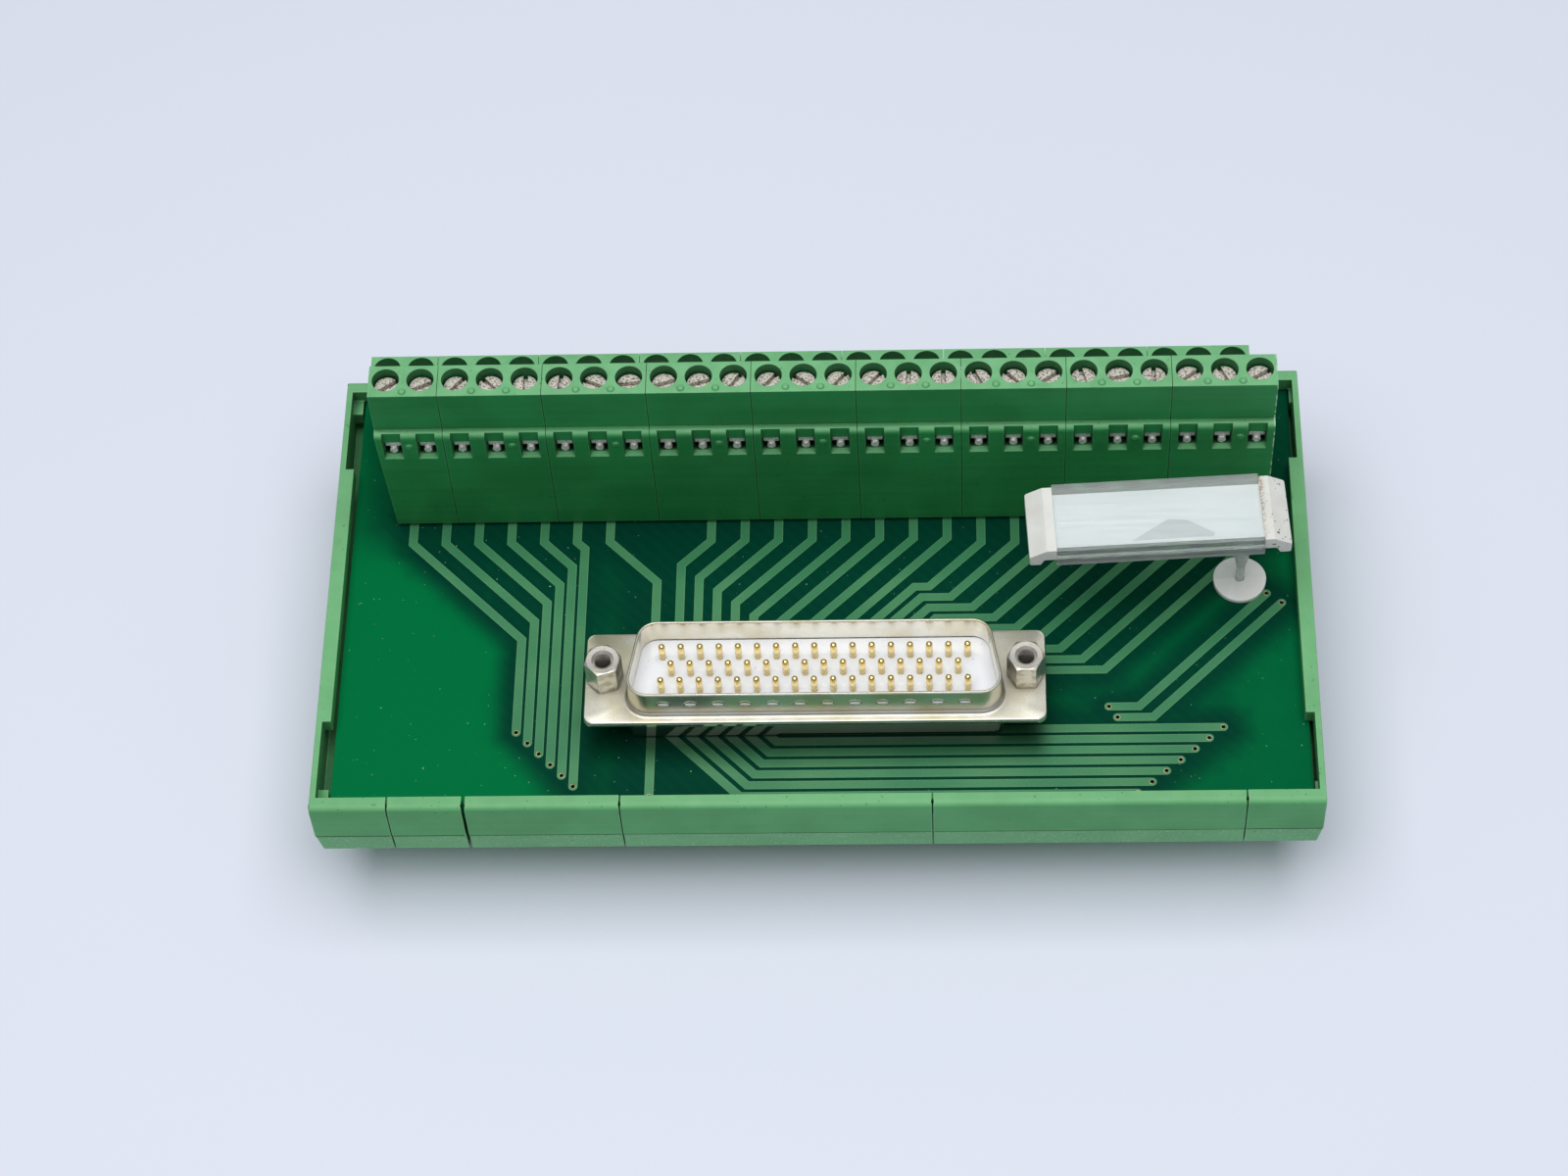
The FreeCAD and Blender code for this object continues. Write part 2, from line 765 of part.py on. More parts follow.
def front_shell():
    """Drawn steel shell: D-shaped collar on a flat flange, with pressed dimples."""
    plate = round_plate(flange_length, flange_depth, flange_round, front_flange_under, dsub_flange_top)
    shape = plate.fuse(d_block(0, front_flange_under, shell_rim)).removeSplitter()

    def collar_foot(edge):
        box_ = edge.BoundBox
        flat = abs(box_.ZMin - dsub_flange_top) < 1e-4 and abs(box_.ZMax - dsub_flange_top) < 1e-4
        inside = max(abs(box_.XMin), abs(box_.XMax)) < shell_length / 2 + 0.1
        return flat and inside and box_.YMin > dsub_y - shell_depth / 2 - 0.1
    shape = rounded(shape, shell_foot_round, collar_foot)
    shape = shape.cut(d_block(shell_wall, front_flange_under, shell_rim))

    def rim(edge):
        return abs(edge.BoundBox.ZMin - shell_rim) < 1e-4
    shape = rounded(shape, shell_wall * rim_round_share, rim)
    dimples = []
    ball = ((dimple_diameter / 2) ** 2 + dimple_depth ** 2) / (2 * dimple_depth)
    for side in (-1, 1):
        middle = dsub_y + side * (shell_depth / 2 - dimple_depth + ball)
        for k in range(dimple_count):
            x = (k - (dimple_count - 1) / 2) * dimple_pitch
            dimples.append(Part.makeSphere(ball, Vector(x, middle, shell_rim - dimple_drop)))
    return shape.cut(group(dimples + flange_holes(front_flange_under, dsub_flange_top)))


def rear_shell():
    """Drawn steel cup under the flange, round the insulator."""
    inner_length = insulator_length + 2 * insulator_fit
    inner_depth = insulator_depth + 2 * insulator_fit
    bottom = rear_flange_under - rear_shell_height
    plate = round_plate(flange_length, flange_depth, flange_round, rear_flange_under, front_flange_under)
    cup = round_plate(inner_length + 2 * rear_shell_wall, inner_depth + 2 * rear_shell_wall,
                      insulator_round + insulator_fit + rear_shell_wall, bottom, rear_flange_under)

    def lower_edge(edge):
        return abs(edge.BoundBox.ZMax - bottom) < 1e-4
    cup = rounded(cup, rear_shell_wall * rim_round_share, lower_edge)
    hollow = round_plate(inner_length, inner_depth, insulator_round + insulator_fit,
                         bottom, front_flange_under)
    holes = flange_holes(rear_flange_under, front_flange_under)
    return plate.fuse(cup).cut(group([hollow] + holes))


def contact_places():
    rows = ((1, outer_row_contacts), (0, outer_row_contacts - 1), (-1, outer_row_contacts))
    for row, count in rows:
        for k in range(count):
            yield (k - (count - 1) / 2) * contact_pitch, dsub_y + row * row_pitch


def contact_hole(x, y, z0, z1):
    half = contact_tail_width / 2 + contact_tail_clearance
    return box(x - half, x + half, y - half, y + half, z0, z1)


def contact(x, y):
    """Round pin with a tapered tip above the insulator, square tail below it."""
    top = insulator_face + contact_length
    radius = contact_diameter / 2
    pin = rod(x, y, insulator_face, top - contact_tip, contact_diameter)
    tip = Part.makeCone(radius, radius / 2, contact_tip, Vector(x, y, top - contact_tip))
    half = contact_tail_width / 2
    tail = box(x - half, x + half, y - half, y + half,
               board_under - contact_tail_protrusion, insulator_face)
    return pin.fuse(tip).fuse(tail).removeSplitter()


def jackscrew(x, turn):
    """Hexagon standoff with a flat ring on top, bevelled corners, female thread and a shank."""
    top = dsub_flange_top + jackscrew_height
    corner = jackscrew_across_flats / math.sqrt(3)
    corners = []
    for k in range(6):
        angle = math.radians(60 * k + turn)
        corners.append((x + corner * math.cos(angle), dsub_y + corner * math.sin(angle)))
    hexagon = prism_z(corners, dsub_flange_top, top)
    ring = jackscrew_ring / 2
    spread = jackscrew_height / math.tan(math.radians(jackscrew_bevel))
    bevel = Part.makeCone(ring + spread, ring, jackscrew_height, Vector(x, dsub_y, dsub_flange_top))
    shank = rod(x, dsub_y, dsub_flange_top - jackscrew_grip, dsub_flange_top, jackscrew_shank)
    bore = rod(x, dsub_y, top - jackscrew_bore_depth, top, jackscrew_bore)
    sink = (jackscrew_mouth - jackscrew_bore) / 2
    mouth = Part.makeCone(jackscrew_bore / 2, jackscrew_mouth / 2, sink, Vector(x, dsub_y, top - sink))
    return hexagon.common(bevel).fuse(shank).cut(bore.fuse(mouth))


def flange_spacer(x):
    """Sleeve between the board and the flange that takes the jackscrew's shank."""
    sleeve = rod(x, dsub_y, board_top, rear_flange_under, spacer_diameter)
    bore = jackscrew_shank + 2 * spacer_clearance
    return sleeve.cut(rod(x, dsub_y, board_top, rear_flange_under, bore))


contacts = list(contact_places())
insulator = round_plate(insulator_length, insulator_depth, insulator_round,
                        insulator_bottom, insulator_top)
insulator = insulator.fuse(d_block(shell_wall + insulator_fit, insulator_top, insulator_face))
insulator = insulator.cut(group([contact_hole(x, y, insulator_bottom, insulator_face)
                                 for x, y in contacts]))
board_holes += [contact_hole(x, y, board_under, board_top) for x, y in contacts]
save("connector_front_shell", front_shell())
save("connector_rear_shell", rear_shell())
save("connector_insulator", insulator)
save("connector_contacts", group([contact(x, y) for x, y in contacts]))
for name, side, turn in (("left", -1, left_jackscrew_turn), ("right", 1, right_jackscrew_turn)):
    save("jackscrew_" + name, jackscrew(side * jackscrew_x, turn))
    save("flange_spacer_" + name, flange_spacer(side * jackscrew_x))


# Label holder: foot on the board, clear post and profile, paper insert, end caps
foot_under = board_top + track_thickness
foot_top = foot_under + label_foot_thickness
label_under = board_top + label_lift
label_top = label_under + label_height
profile_left = -label_left_reach + cap_width
profile_right = label_right_reach - cap_width
chamber_floor = label_under + label_base_thickness
chamber_roof = label_top - cover_thickness


def placed(shape):
    """Moves a label piece from the post's axis to its turned place on the board."""
    shape.rotate(Vector(0, 0, 0), Vector(0, 0, 1), label_turn)
    shape.translate(Vector(label_x, label_y, 0))
    return shape


def label_foot():
    """White disc with a low ridge, pegged into the board, bored for the post."""
    radius = label_foot_diameter / 2
    roof = prism_x([(-radius, foot_under), (-radius, foot_top - label_foot_fall), (0, foot_top),
                    (radius, foot_top - label_foot_fall), (radius, foot_under)], -radius, radius)
    disc = rod(0, 0, foot_under, foot_top, label_foot_diameter).common(roof)
    peg = rod(0, 0, foot_under - label_peg_length, foot_under, label_peg_diameter)
    bore = post_pin_diameter + 2 * post_pin_clearance
    return placed(disc.fuse(peg).cut(rod(0, 0, foot_top - post_pin_seat, foot_top, bore)))


def label_post():
    """Clear turned post: thin pin in the foot, straight neck and a flare under the label."""
    pin = post_pin_diameter / 2
    bottom = foot_top - post_pin_seat + post_pin_clearance
    neck = foot_top + post_straight
    outline = [Vector(0, 0, bottom), Vector(pin, 0, bottom), Vector(pin, 0, neck),
               Vector(post_flare_diameter / 2, 0, label_under), Vector(0, 0, label_under)]
    face = Part.Face(Part.makePolygon(outline + outline[:1]))
    return placed(face.revolve(Vector(0, 0, 0), Vector(0, 0, 1), 360))


def label_profile():
    """Clear extruded base and cover round a flat chamber, with a lip along the front."""
    half_base = label_depth / 2
    half_cover = cover_depth / 2
    outline = [(-half_base, label_under), (half_base, label_under), (half_base, label_top),
               (-half_cover, label_top), (-half_cover, chamber_floor),
               (-half_base + front_lip_width, chamber_floor),
               (-half_base + front_lip_width, chamber_floor + front_lip_rise),
               (-half_base, chamber_floor + front_lip_rise)]
    shape = prism_x(outline, profile_left, profile_right)
    inner = half_cover - cover_wall
    return placed(shape.cut(box(profile_left, profile_right, -inner, inner, chamber_floor, chamber_roof)))


def label_insert():
    return placed(box(profile_left, profile_right,
                      insert_shift - insert_depth / 2, insert_shift + insert_depth / 2,
                      chamber_roof - insert_clearance - insert_thickness,
                      chamber_roof - insert_clearance))


def label_cap(side):
    """White end cap: flat strip beside the label, sloped outer face and a low foot."""
    inner = profile_right if side > 0 else profile_left
    profile = [(0, label_top), (cap_flat, label_top), (cap_width, label_top - cap_fall),
               (cap_width, label_top - cap_height - cap_foot_drop),
               (cap_width - cap_foot_width, label_top - cap_height - cap_foot_drop),
               (cap_width - cap_foot_width - cap_foot_drop / 2, label_top - cap_height),
               (0, label_top - cap_height)]
    shape = prism_y([(inner + side * u, z) for u, z in profile], -cap_depth / 2, cap_depth / 2)

    def outer_corner(edge):
        ends = [vertex.Point for vertex in edge.Vertexes]
        return all(abs(p.x - inner - side * cap_width) < 1e-4 for p in ends) and upright(edge)
    return placed(rounded(shape, cap_round, outer_corner))


save("label_foot", label_foot())
save("label_post", label_post())
save("label_profile", label_profile())
save("label_insert", label_insert())
save("label_cap_left", label_cap(-1))
save("label_cap_right", label_cap(1))


# Copper tracks: flat ribbons with mitred 45 degree bends and round ends
def ribbon(points):
    half = track_width / 2
    spine = [Vector(x, from_front(y), board_top) for x, y in points]
    normals = []
    for a, b in zip(spine, spine[1:]):
        along = (b - a).normalize()
        normals.append(Vector(-along.y, along.x, 0))
    shifts = [normals[0]]
    for before, after in zip(normals, normals[1:]):
        shifts.append((before + after) * (1 / (1 + before.dot(after))))
    shifts.append(normals[-1])
    left = [p + s * half for p, s in zip(spine, shifts)]
    right = [p - s * half for p, s in zip(spine, shifts)]
    start_tip = spine[0] - (spine[1] - spine[0]).normalize() * half
    end_tip = spine[-1] + (spine[-1] - spine[-2]).normalize() * half
    sides = [Part.makePolygon(left), Part.makePolygon(right[::-1])]
    tips = [Part.Arc(left[-1], end_tip, right[-1]), Part.Arc(right[0], start_tip, left[0])]
    edges = sides[0].Edges + [tips[0].toShape()] + sides[1].Edges + [tips[1].toShape()]
    return Part.Face(Part.Wire(edges)).extrude(Vector(0, 0, track_thickness))


block_face = housing_depth - block_from_back
track_start = block_face + foot_relief_depth
track_bend = block_face - track_lead
shelf_bend = block_face - shelf_lead
shelf_first = block_face - shelf_drop
shelf_end = dsub_from_front + shelf_end_from_dsub


def lead_x(k):
    """Where the track of pole k leaves the terminal row."""
    if k <= left_bundle_count:
        return left_lead_x + left_lead_pitch * k
    return upper_pole_x[k] + lead_shift


def pole_path(k, bend, turns):
    """A route from pole k down to its bend, then through the given points."""
    return [(lead_x(k), track_start), (lead_x(k), bend)] + turns


def left_paths():
    paths = []
    for k in range(left_bundle_count):
        x = left_bundle_x + left_bundle_pitch * k
        knee = track_bend - (x - lead_x(k))
        end = left_bundle_end - left_bundle_step * k
        paths.append(pole_path(k, track_bend, [(x, knee), (x, end)]))
    k = left_bundle_count
    knee = track_bend - (lone_left_x - lead_x(k))
    paths.append(pole_path(k, track_bend, [(lone_left_x, knee), (lone_left_x, lone_left_end)]))
    return paths


def middle_paths():
    paths = []
    for n in range(middle_count):
        k = middle_first_pole + n
        x = middle_first_x + contact_pitch * n
        knee = track_bend - (lead_x(k) - x)
        paths.append(pole_path(k, track_bend, [(x, knee), (x, dsub_from_front)]))
    for n in range(pole_count - middle_first_pole - middle_count):
        k = middle_first_pole + middle_count + n
        shelf = shelf_first - shelf_pitch * n
        turn = shelf_turn_x + shelf_turn_step * n
        path = [(lead_x(k) - (shelf_bend - shelf), shelf), (turn, shelf)]
        if shelf - shelf_end > track_width:
            path.append((turn - (shelf - shelf_end), shelf_end))
        paths.append(pole_path(k, shelf_bend, path))
    return paths


def lower_paths():
    paths = []
    for n in range(lower_bundle_count):
        row = lower_bundle_first + lower_bundle_pitch * n
        turn = lower_bundle_turn_x + lower_bundle_turn_step * n
        paths.append([(turn - (lower_bundle_end - row), lower_bundle_end), (turn, row),
                      (lower_bundle_via_x + lower_bundle_via_step * n, row)])
    return paths


def link_paths():
    """Two links whose places along X count from the right end of the row."""
    links = ((link_first_via, link_first_row, link_first_turn, link_first_end),
             (link_second_via, link_second_row, link_second_turn, link_second_end))
    paths = []
    for via, row, turn, end in links:
        turn_x = half_width - turn
        paths.append([(half_width - via, row), (turn_x, row), (turn_x + end - row, end)])
    return paths


via_ends = [path[-1] for path in left_paths() + lower_paths() + link_paths()]
via_ends += [path[0] for path in link_paths()]
via_holes = [rod(x, from_front(y), board_under, board_top + track_thickness, via_diameter)
             for x, y in via_ends]
under_blocks = box(-half_width, half_width, back_y + foot_relief_depth, half_depth,
                   board_top, board_top + track_thickness)
pad_holes = [contact_hole(x, y, board_top, board_top + track_thickness) for x, y in contacts]
peg_hole = rod(label_x, label_y, board_under, board_top + track_thickness,
               label_peg_diameter + 2 * label_peg_clearance)
copper_cuts = group(via_holes + pad_holes + [under_blocks, peg_hole])
routes = left_paths() + middle_paths() + lower_paths() + link_paths()
save("copper_tracks", group([ribbon(route).cut(copper_cuts) for route in routes]))


# Circuit board
board = box(board_shift - board_width / 2, board_shift + board_width / 2,
            -board_depth / 2, board_depth / 2, board_under, board_top)
save("circuit_board", board.cut(group(board_holes + via_holes + [peg_hole])))
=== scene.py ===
import math

import bmesh
import bpy
from mathutils import Matrix, Vector
from mathutils.bvhtree import BVHTree


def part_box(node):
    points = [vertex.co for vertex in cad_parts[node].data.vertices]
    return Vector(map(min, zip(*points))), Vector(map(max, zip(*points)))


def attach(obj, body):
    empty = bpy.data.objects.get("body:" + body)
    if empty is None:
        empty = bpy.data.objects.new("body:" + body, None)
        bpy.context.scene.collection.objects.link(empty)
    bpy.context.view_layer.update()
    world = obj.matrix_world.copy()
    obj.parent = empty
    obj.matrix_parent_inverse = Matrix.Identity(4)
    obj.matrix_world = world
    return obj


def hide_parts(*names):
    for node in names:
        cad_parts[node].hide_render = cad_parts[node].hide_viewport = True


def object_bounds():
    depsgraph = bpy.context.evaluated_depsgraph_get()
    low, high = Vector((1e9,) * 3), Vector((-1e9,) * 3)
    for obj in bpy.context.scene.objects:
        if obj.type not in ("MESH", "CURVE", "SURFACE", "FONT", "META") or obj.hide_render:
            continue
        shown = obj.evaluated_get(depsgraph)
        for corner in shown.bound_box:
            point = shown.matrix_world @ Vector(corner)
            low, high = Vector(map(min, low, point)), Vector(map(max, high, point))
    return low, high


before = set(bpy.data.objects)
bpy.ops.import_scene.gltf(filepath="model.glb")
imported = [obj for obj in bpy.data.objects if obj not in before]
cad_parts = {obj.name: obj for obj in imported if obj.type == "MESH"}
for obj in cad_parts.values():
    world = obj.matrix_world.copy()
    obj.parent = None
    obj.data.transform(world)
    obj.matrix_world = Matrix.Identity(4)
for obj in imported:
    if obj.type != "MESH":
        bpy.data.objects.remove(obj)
cad_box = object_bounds()


# Housing row: six channel elements side by side, moulded in green polyamide and pressed together.
# Handling has polished the edges pale, and grease and dust sit in the corners and in the joints.
# Painted shade darkens the deeper recesses, the tops carry a painted sheen over chalky dust, and faces that
# look down are painted paler as if lit from the floor.
MM = 0.001
housing_nodes = [name for name in sorted(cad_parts) if name.startswith(("side_element", "base_element"))]
housing_edge = 0.16 * MM
merge_gap = 0.002 * MM
rounded_turn = math.radians(35)


def srgb(red, green, blue):
    """A colour as it is read off a screen, 0 to 255, in the linear light that shaders use."""
    def linear(level):
        share = level / 255
        return share / 12.92 if share <= 0.04045 else ((share + 0.055) / 1.055) ** 2.4
    return (linear(red), linear(green), linear(blue), 1.0)


def blank(name):
    """A new material with its node tree and its surface shader."""
    material = bpy.data.materials.new(name)
    material.use_nodes = True
    return material, material.node_tree, material.node_tree.nodes["Principled BSDF"]


def feed(tree, shader, inputs):
    """Gives each named input of a shader node a value, or the output of another node."""
    for name, value in inputs.items():
        if isinstance(value, bpy.types.NodeSocket):
            tree.links.new(value, shader.inputs[name])
        else:
            shader.inputs[name].default_value = value
    return shader


def add(tree, kind, inputs, **settings):
    shader = tree.nodes.new("ShaderNode" + kind)
    for name, value in settings.items():
        setattr(shader, name, value)
    return feed(tree, shader, inputs)


def place(tree, stretch=(1, 1, 1)):
    """Object coordinates, drawn out along an axis where its factor is small."""
    spot = add(tree, "TexCoord", {}).outputs["Object"]
    return add(tree, "Mapping", {"Vector": spot, "Scale": stretch}).outputs["Vector"]


def noise(tree, spot, size, detail=3.0):
    """Cloudy values from 0 to 1 with lumps of about the given size."""
    return add(tree, "TexNoise", {"Vector": spot, "Scale": 1 / size, "Detail": detail}).outputs["Fac"]


def ease(tree, value, low, high):
    """0 below low, 1 above high and a smooth rise between them."""
    shader = add(tree, "MapRange", {"Value": value, "From Min": low, "From Max": high},
                 interpolation_type="SMOOTHSTEP")
    return shader.outputs["Result"]


def span(tree, value, low, high):
    """Takes values from 0 to 1 to the range from low to high."""
    return add(tree, "MapRange", {"Value": value, "To Min": low, "To Max": high}).outputs["Result"]


def sums(tree, operation, *values):
    return add(tree, "Math", dict(enumerate(values)), operation=operation).outputs[0]


def blend(tree, share, first, second):
    """The first colour where the share is 0, the second where it is 1."""
    return add(tree, "Mix", {0: share, 6: first, 7: second}, data_type="RGBA").outputs[2]


def edges_of(tree, reach):
    """1 on the edges of the piece, 0 on its flats."""
    soft = add(tree, "Bevel", {"Radius": reach}, samples=4).outputs["Normal"]
    true = add(tree, "NewGeometry", {}).outputs["True Normal"]
    alike = add(tree, "VectorMath", {0: soft, 1: true}, operation="DOT_PRODUCT").outputs["Value"]
    return ease(tree, alike, 0.995, 0.9)


def corners_of(tree, reach):
    """1 in the inside corners and joints, 0 in the open."""
    open_air = add(tree, "AmbientOcclusion", {"Distance": reach}, samples=4).outputs["AO"]
    return ease(tree, open_air, 0.8, 0.4)


def bumps(tree, height, depth):
    return add(tree, "Bump", {"Height": height, "Distance": depth}).outputs["Normal"]


def slope(tree):
    """1 on faces that look up, 0 on upright ones, -1 on undersides."""
    true = add(tree, "NewGeometry", {}).outputs["True Normal"]
    return add(tree, "SeparateXYZ", {"Vector": true}).outputs["Z"]


def moulded(name, tone, shade, pale_wear_and_light, grime_and_shade, dirt, dust_and_sheen, rub):
    """Moulded plastic: a cloudy tone, chalky dust with a painted sheen on top, pale worn edges, painted shade
    in the recesses, undersides painted paler as if lit from the floor, grime in the corners and specks.
    """
    material, tree, skin = blank(name)
    spot = place(tree)
    colour = blend(tree, ease(tree, noise(tree, spot, 9 * MM), 0.35, 0.65), tone, shade)
    flow = noise(tree, place(tree, (0.03, 0.03, 1)), 0.9 * MM, 2.0)
    colour = blend(tree, span(tree, flow, 0.0, 0.1), colour, pale_wear_and_light)
    rubbed = noise(tree, spot, 2.5 * MM)
    # Painted shade: recesses up to 5 mm deep are darkened towards the grime colour and kept free of the
    # chalk.
    hollow_shade = corners_of(tree, 5 * MM)
    # Chalky dust with a painted sheen on faces that look up and lie open.
    reach = sums(tree, "SUBTRACT", ease(tree, slope(tree), 0.3, 0.95), hollow_shade)
    top_dust_and_sheen = sums(tree, "MULTIPLY", reach, span(tree, rubbed, 0.6 * dust_and_sheen, 1.3 * dust_and_sheen))
    colour = blend(tree, sums(tree, "MAXIMUM", top_dust_and_sheen, 0.0), colour, pale_wear_and_light)
    colour = blend(tree, sums(tree, "MULTIPLY", hollow_shade, 0.36), colour, grime_and_shade)
    # Painted bounce light: faces that look down are paled as if lit from the floor, with pale specks on them.
    under = sums(tree, "MULTIPLY", ease(tree, slope(tree), -0.03, -0.1), 0.25)
    colour = blend(tree, under, colour, pale_wear_and_light)
    crumbs = ease(tree, noise(tree, spot, 0.3 * MM, 2.0), 0.6, 0.68)
    colour = blend(tree, sums(tree, "MULTIPLY", crumbs, under), colour, srgb(226, 236, 224))
    wear = sums(tree, "MULTIPLY", edges_of(tree, 0.35 * MM), span(tree, rubbed, 0.1 * rub, rub))
    colour = blend(tree, wear, colour, pale_wear_and_light)
    soiled = sums(tree, "MULTIPLY", corners_of(tree, 1.6 * MM), ease(tree, rubbed, 0.3, 0.6))
    colour = blend(tree, sums(tree, "MULTIPLY", soiled, dirt), colour, grime_and_shade)
    specks = ease(tree, noise(tree, spot, 0.55 * MM, 1.0), 0.71, 0.76)
    colour = blend(tree, sums(tree, "MULTIPLY", specks, 0.6 * dirt), colour, grime_and_shade)
    grain = noise(tree, spot, 0.16 * MM, 2.0)
    rough = span(tree, noise(tree, spot, 3 * MM), 0.36, 0.58)
    soft = add(tree, "Bevel", {"Radius": 0.12 * MM}, samples=4).outputs["Normal"]
    normal = add(tree, "Bump", {"Height": grain, "Distance": 0.012 * MM, "Normal": soft}).outputs["Normal"]
    feed(tree, skin, {"Base Color": colour, "Roughness": rough, "Specular IOR Level": 0.25, "Normal": normal})
    return material


def dress(names, material, edge, close_edges=False):
    """Gives CAD nodes their finish, and rounds their edges where edge isn't 0.

    With close_edges the rounds get narrower where edges lie close together.
    """
    for name in names:
        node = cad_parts[name]
        node.material_slots[0].link = "OBJECT"
        node.material_slots[0].material = material
        weld = node.modifiers.new("weld", "WELD")
        weld.merge_threshold = merge_gap
        if edge:
            rounds = node.modifiers.new("rounds", "BEVEL")
            rounds.width = edge
            rounds.segments = 2
            rounds.limit_method = "ANGLE"
            rounds.angle_limit = rounded_turn
            rounds.use_clamp_overlap = close_edges
        shading = node.modifiers.new("shading", "WEIGHTED_NORMAL")
        shading.keep_sharp = True


housing_plastic = moulded("housing_plastic", srgb(80, 160, 97), srgb(72, 150, 89),
                          srgb(150, 206, 154), srgb(32, 74, 50), 0.8, 0.36, 0.75)
dress(housing_nodes, housing_plastic, housing_edge)


# Rail feet and latches: two snap feet under the row hook a 35 mm rail, each with a sliding latch.
# They are moulded in the same green polyamide and have stayed cleaner than the row above.
foot_nodes = ["rail_foot_left", "rail_foot_right", "rail_latch_left", "rail_latch_right"]
foot_edge = 0.2 * MM
foot_plastic = moulded("foot_plastic", srgb(104, 168, 112), srgb(92, 154, 101),
                       srgb(140, 190, 142), srgb(50, 66, 44), 0.4, 0.2, 0.5)
dress(foot_nodes, foot_plastic, foot_edge)


# Circuit board: a glass-fibre laminate under green solder resist, slid into the groove of the rails.
# It is bright where no copper is near and dark beside the tracks, so each point keeps its distance to them;
# the middle and the right half are darker, and a shadow is painted in front of the terminal row and beside
# its left end.
board_cell = 2.5 * MM
cut_tolerance = 1e-7
halo_start = 0.2 * MM
halo_end = 4.5 * MM
row_shade = 7.5 * MM
row_depth = 0.65
halo_inside = 26 * MM
halo_outside = 44 * MM
right_share = 0.6
# How far the painted shadow of the connector's flange reaches in front and to the sides, and how softly it
# fades.
flange_shadow_front = 5.5 * MM
flange_shadow_side = 1.5 * MM
flange_shadow_fade = 2 * MM
line_edge = 0.08 * MM
row_start, block_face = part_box("terminal_block_1")[0].xy
board_low, board_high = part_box("circuit_board")
shell_low, shell_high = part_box("connector_front_shell")
scratch_corners = ((-69.36, -1.21), (-68.7, -0.8), (-68.07, -0.7), (-68.6, -0.95))


def merged_copy(name, node):
    """A new piece with the node's own mesh, its loose triangles joined."""
    mesh = bpy.data.meshes.new(name)
    shape = bmesh.new()
    shape.from_mesh(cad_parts[node].data)
    bmesh.ops.remove_doubles(shape, verts=shape.verts, dist=merge_gap)
    return mesh, shape


def piece(name, mesh, shape, material, body, slot, *nodes):
    """Closes a modelled shape into a piece that rides on its body in place of its nodes."""
    shape.to_mesh(mesh)
    shape.free()
    mesh.materials.append(material)
    made = bpy.data.objects.new(name, mesh)
    bpy.context.scene.collection.objects.link(made)
    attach(made, body)
    if nodes:
        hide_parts(*nodes)
    return made


def within(tree, spot, corners):
    """1 inside an outline seen from above, its corners given clockwise in millimetres, 0 outside."""
    share = 1.0
    for (x, y), (next_x, next_y) in zip(corners, corners[1:] + corners[:1]):
        inward = Vector((next_y - y, x - next_x, 0)).normalized()
        reach = add(tree, "VectorMath", {0: spot, 1: inward}, operation="DOT_PRODUCT").outputs["Value"]
        start = inward.dot(Vector((x, y, 0))) * MM
        share = sums(tree, "MULTIPLY", share, ease(tree, reach, start, start + line_edge))
    return share


def below_flange(tree, spot):
    """1 under the flange of the connector, where a shadow is painted, fading out in front of it."""
    across, along, _ = add(tree, "SeparateXYZ", {"Vector": spot}).outputs
    ahead = ease(tree, along, shell_low.y - flange_shadow_front, shell_low.y + flange_shadow_fade)
    behind = ease(tree, along, shell_high.y, shell_high.y - flange_shadow_fade)
    aside = sums(tree, "ABSOLUTE", across)
    beside = ease(tree, aside, shell_high.x + flange_shadow_side, shell_high.x - flange_shadow_fade)
    return sums(tree, "MULTIPLY", sums(tree, "MULTIPLY", ahead, behind), beside)


def solder_resist():
    material, tree, skin = blank("solder_resist")
    spot = place(tree)
    free = add(tree, "Attribute", {}, attribute_name="unshaded_free_of_copper").outputs["Fac"]
    cloud = noise(tree, spot, 7 * MM)
    free = sums(tree, "ADD", span(tree, cloud, -0.12, 0.12), free)
    colour = blend(tree, ease(tree, free, 0.0, 1.0), srgb(2, 58, 42), srgb(0, 111, 60))
    weave = add(tree, "TexWave", {"Vector": spot, "Scale": 260.0, "Distortion": 1.5, "Detail": 2.0},
                bands_direction="DIAGONAL").outputs["Fac"]
    colour = blend(tree, span(tree, weave, 0.0, 0.05), colour, srgb(20, 100, 60))
    # Painted shadow under and in front of the connector's flange.
    flange_shadow = sums(tree, "MULTIPLY", below_flange(tree, spot), 0.6)
    colour = blend(tree, flange_shadow, colour, srgb(2, 26, 16))
    dust = ease(tree, noise(tree, spot, 0.5 * MM, 1.0), 0.765, 0.795)
    pale = sums(tree, "MAXIMUM", dust, within(tree, spot, scratch_corners))
    colour = blend(tree, sums(tree, "MULTIPLY", pale, 0.5), colour, srgb(176, 210, 186))
    rough = span(tree, noise(tree, spot, 4 * MM), 0.22, 0.4)
    ripple = noise(tree, spot, 1.4 * MM, 2.0)
    feed(tree, skin, {"Base Color": colour, "Roughness": rough, "Specular IOR Level": 0.02,
                      "Normal": bumps(tree, ripple, 0.01 * MM)})
    return material


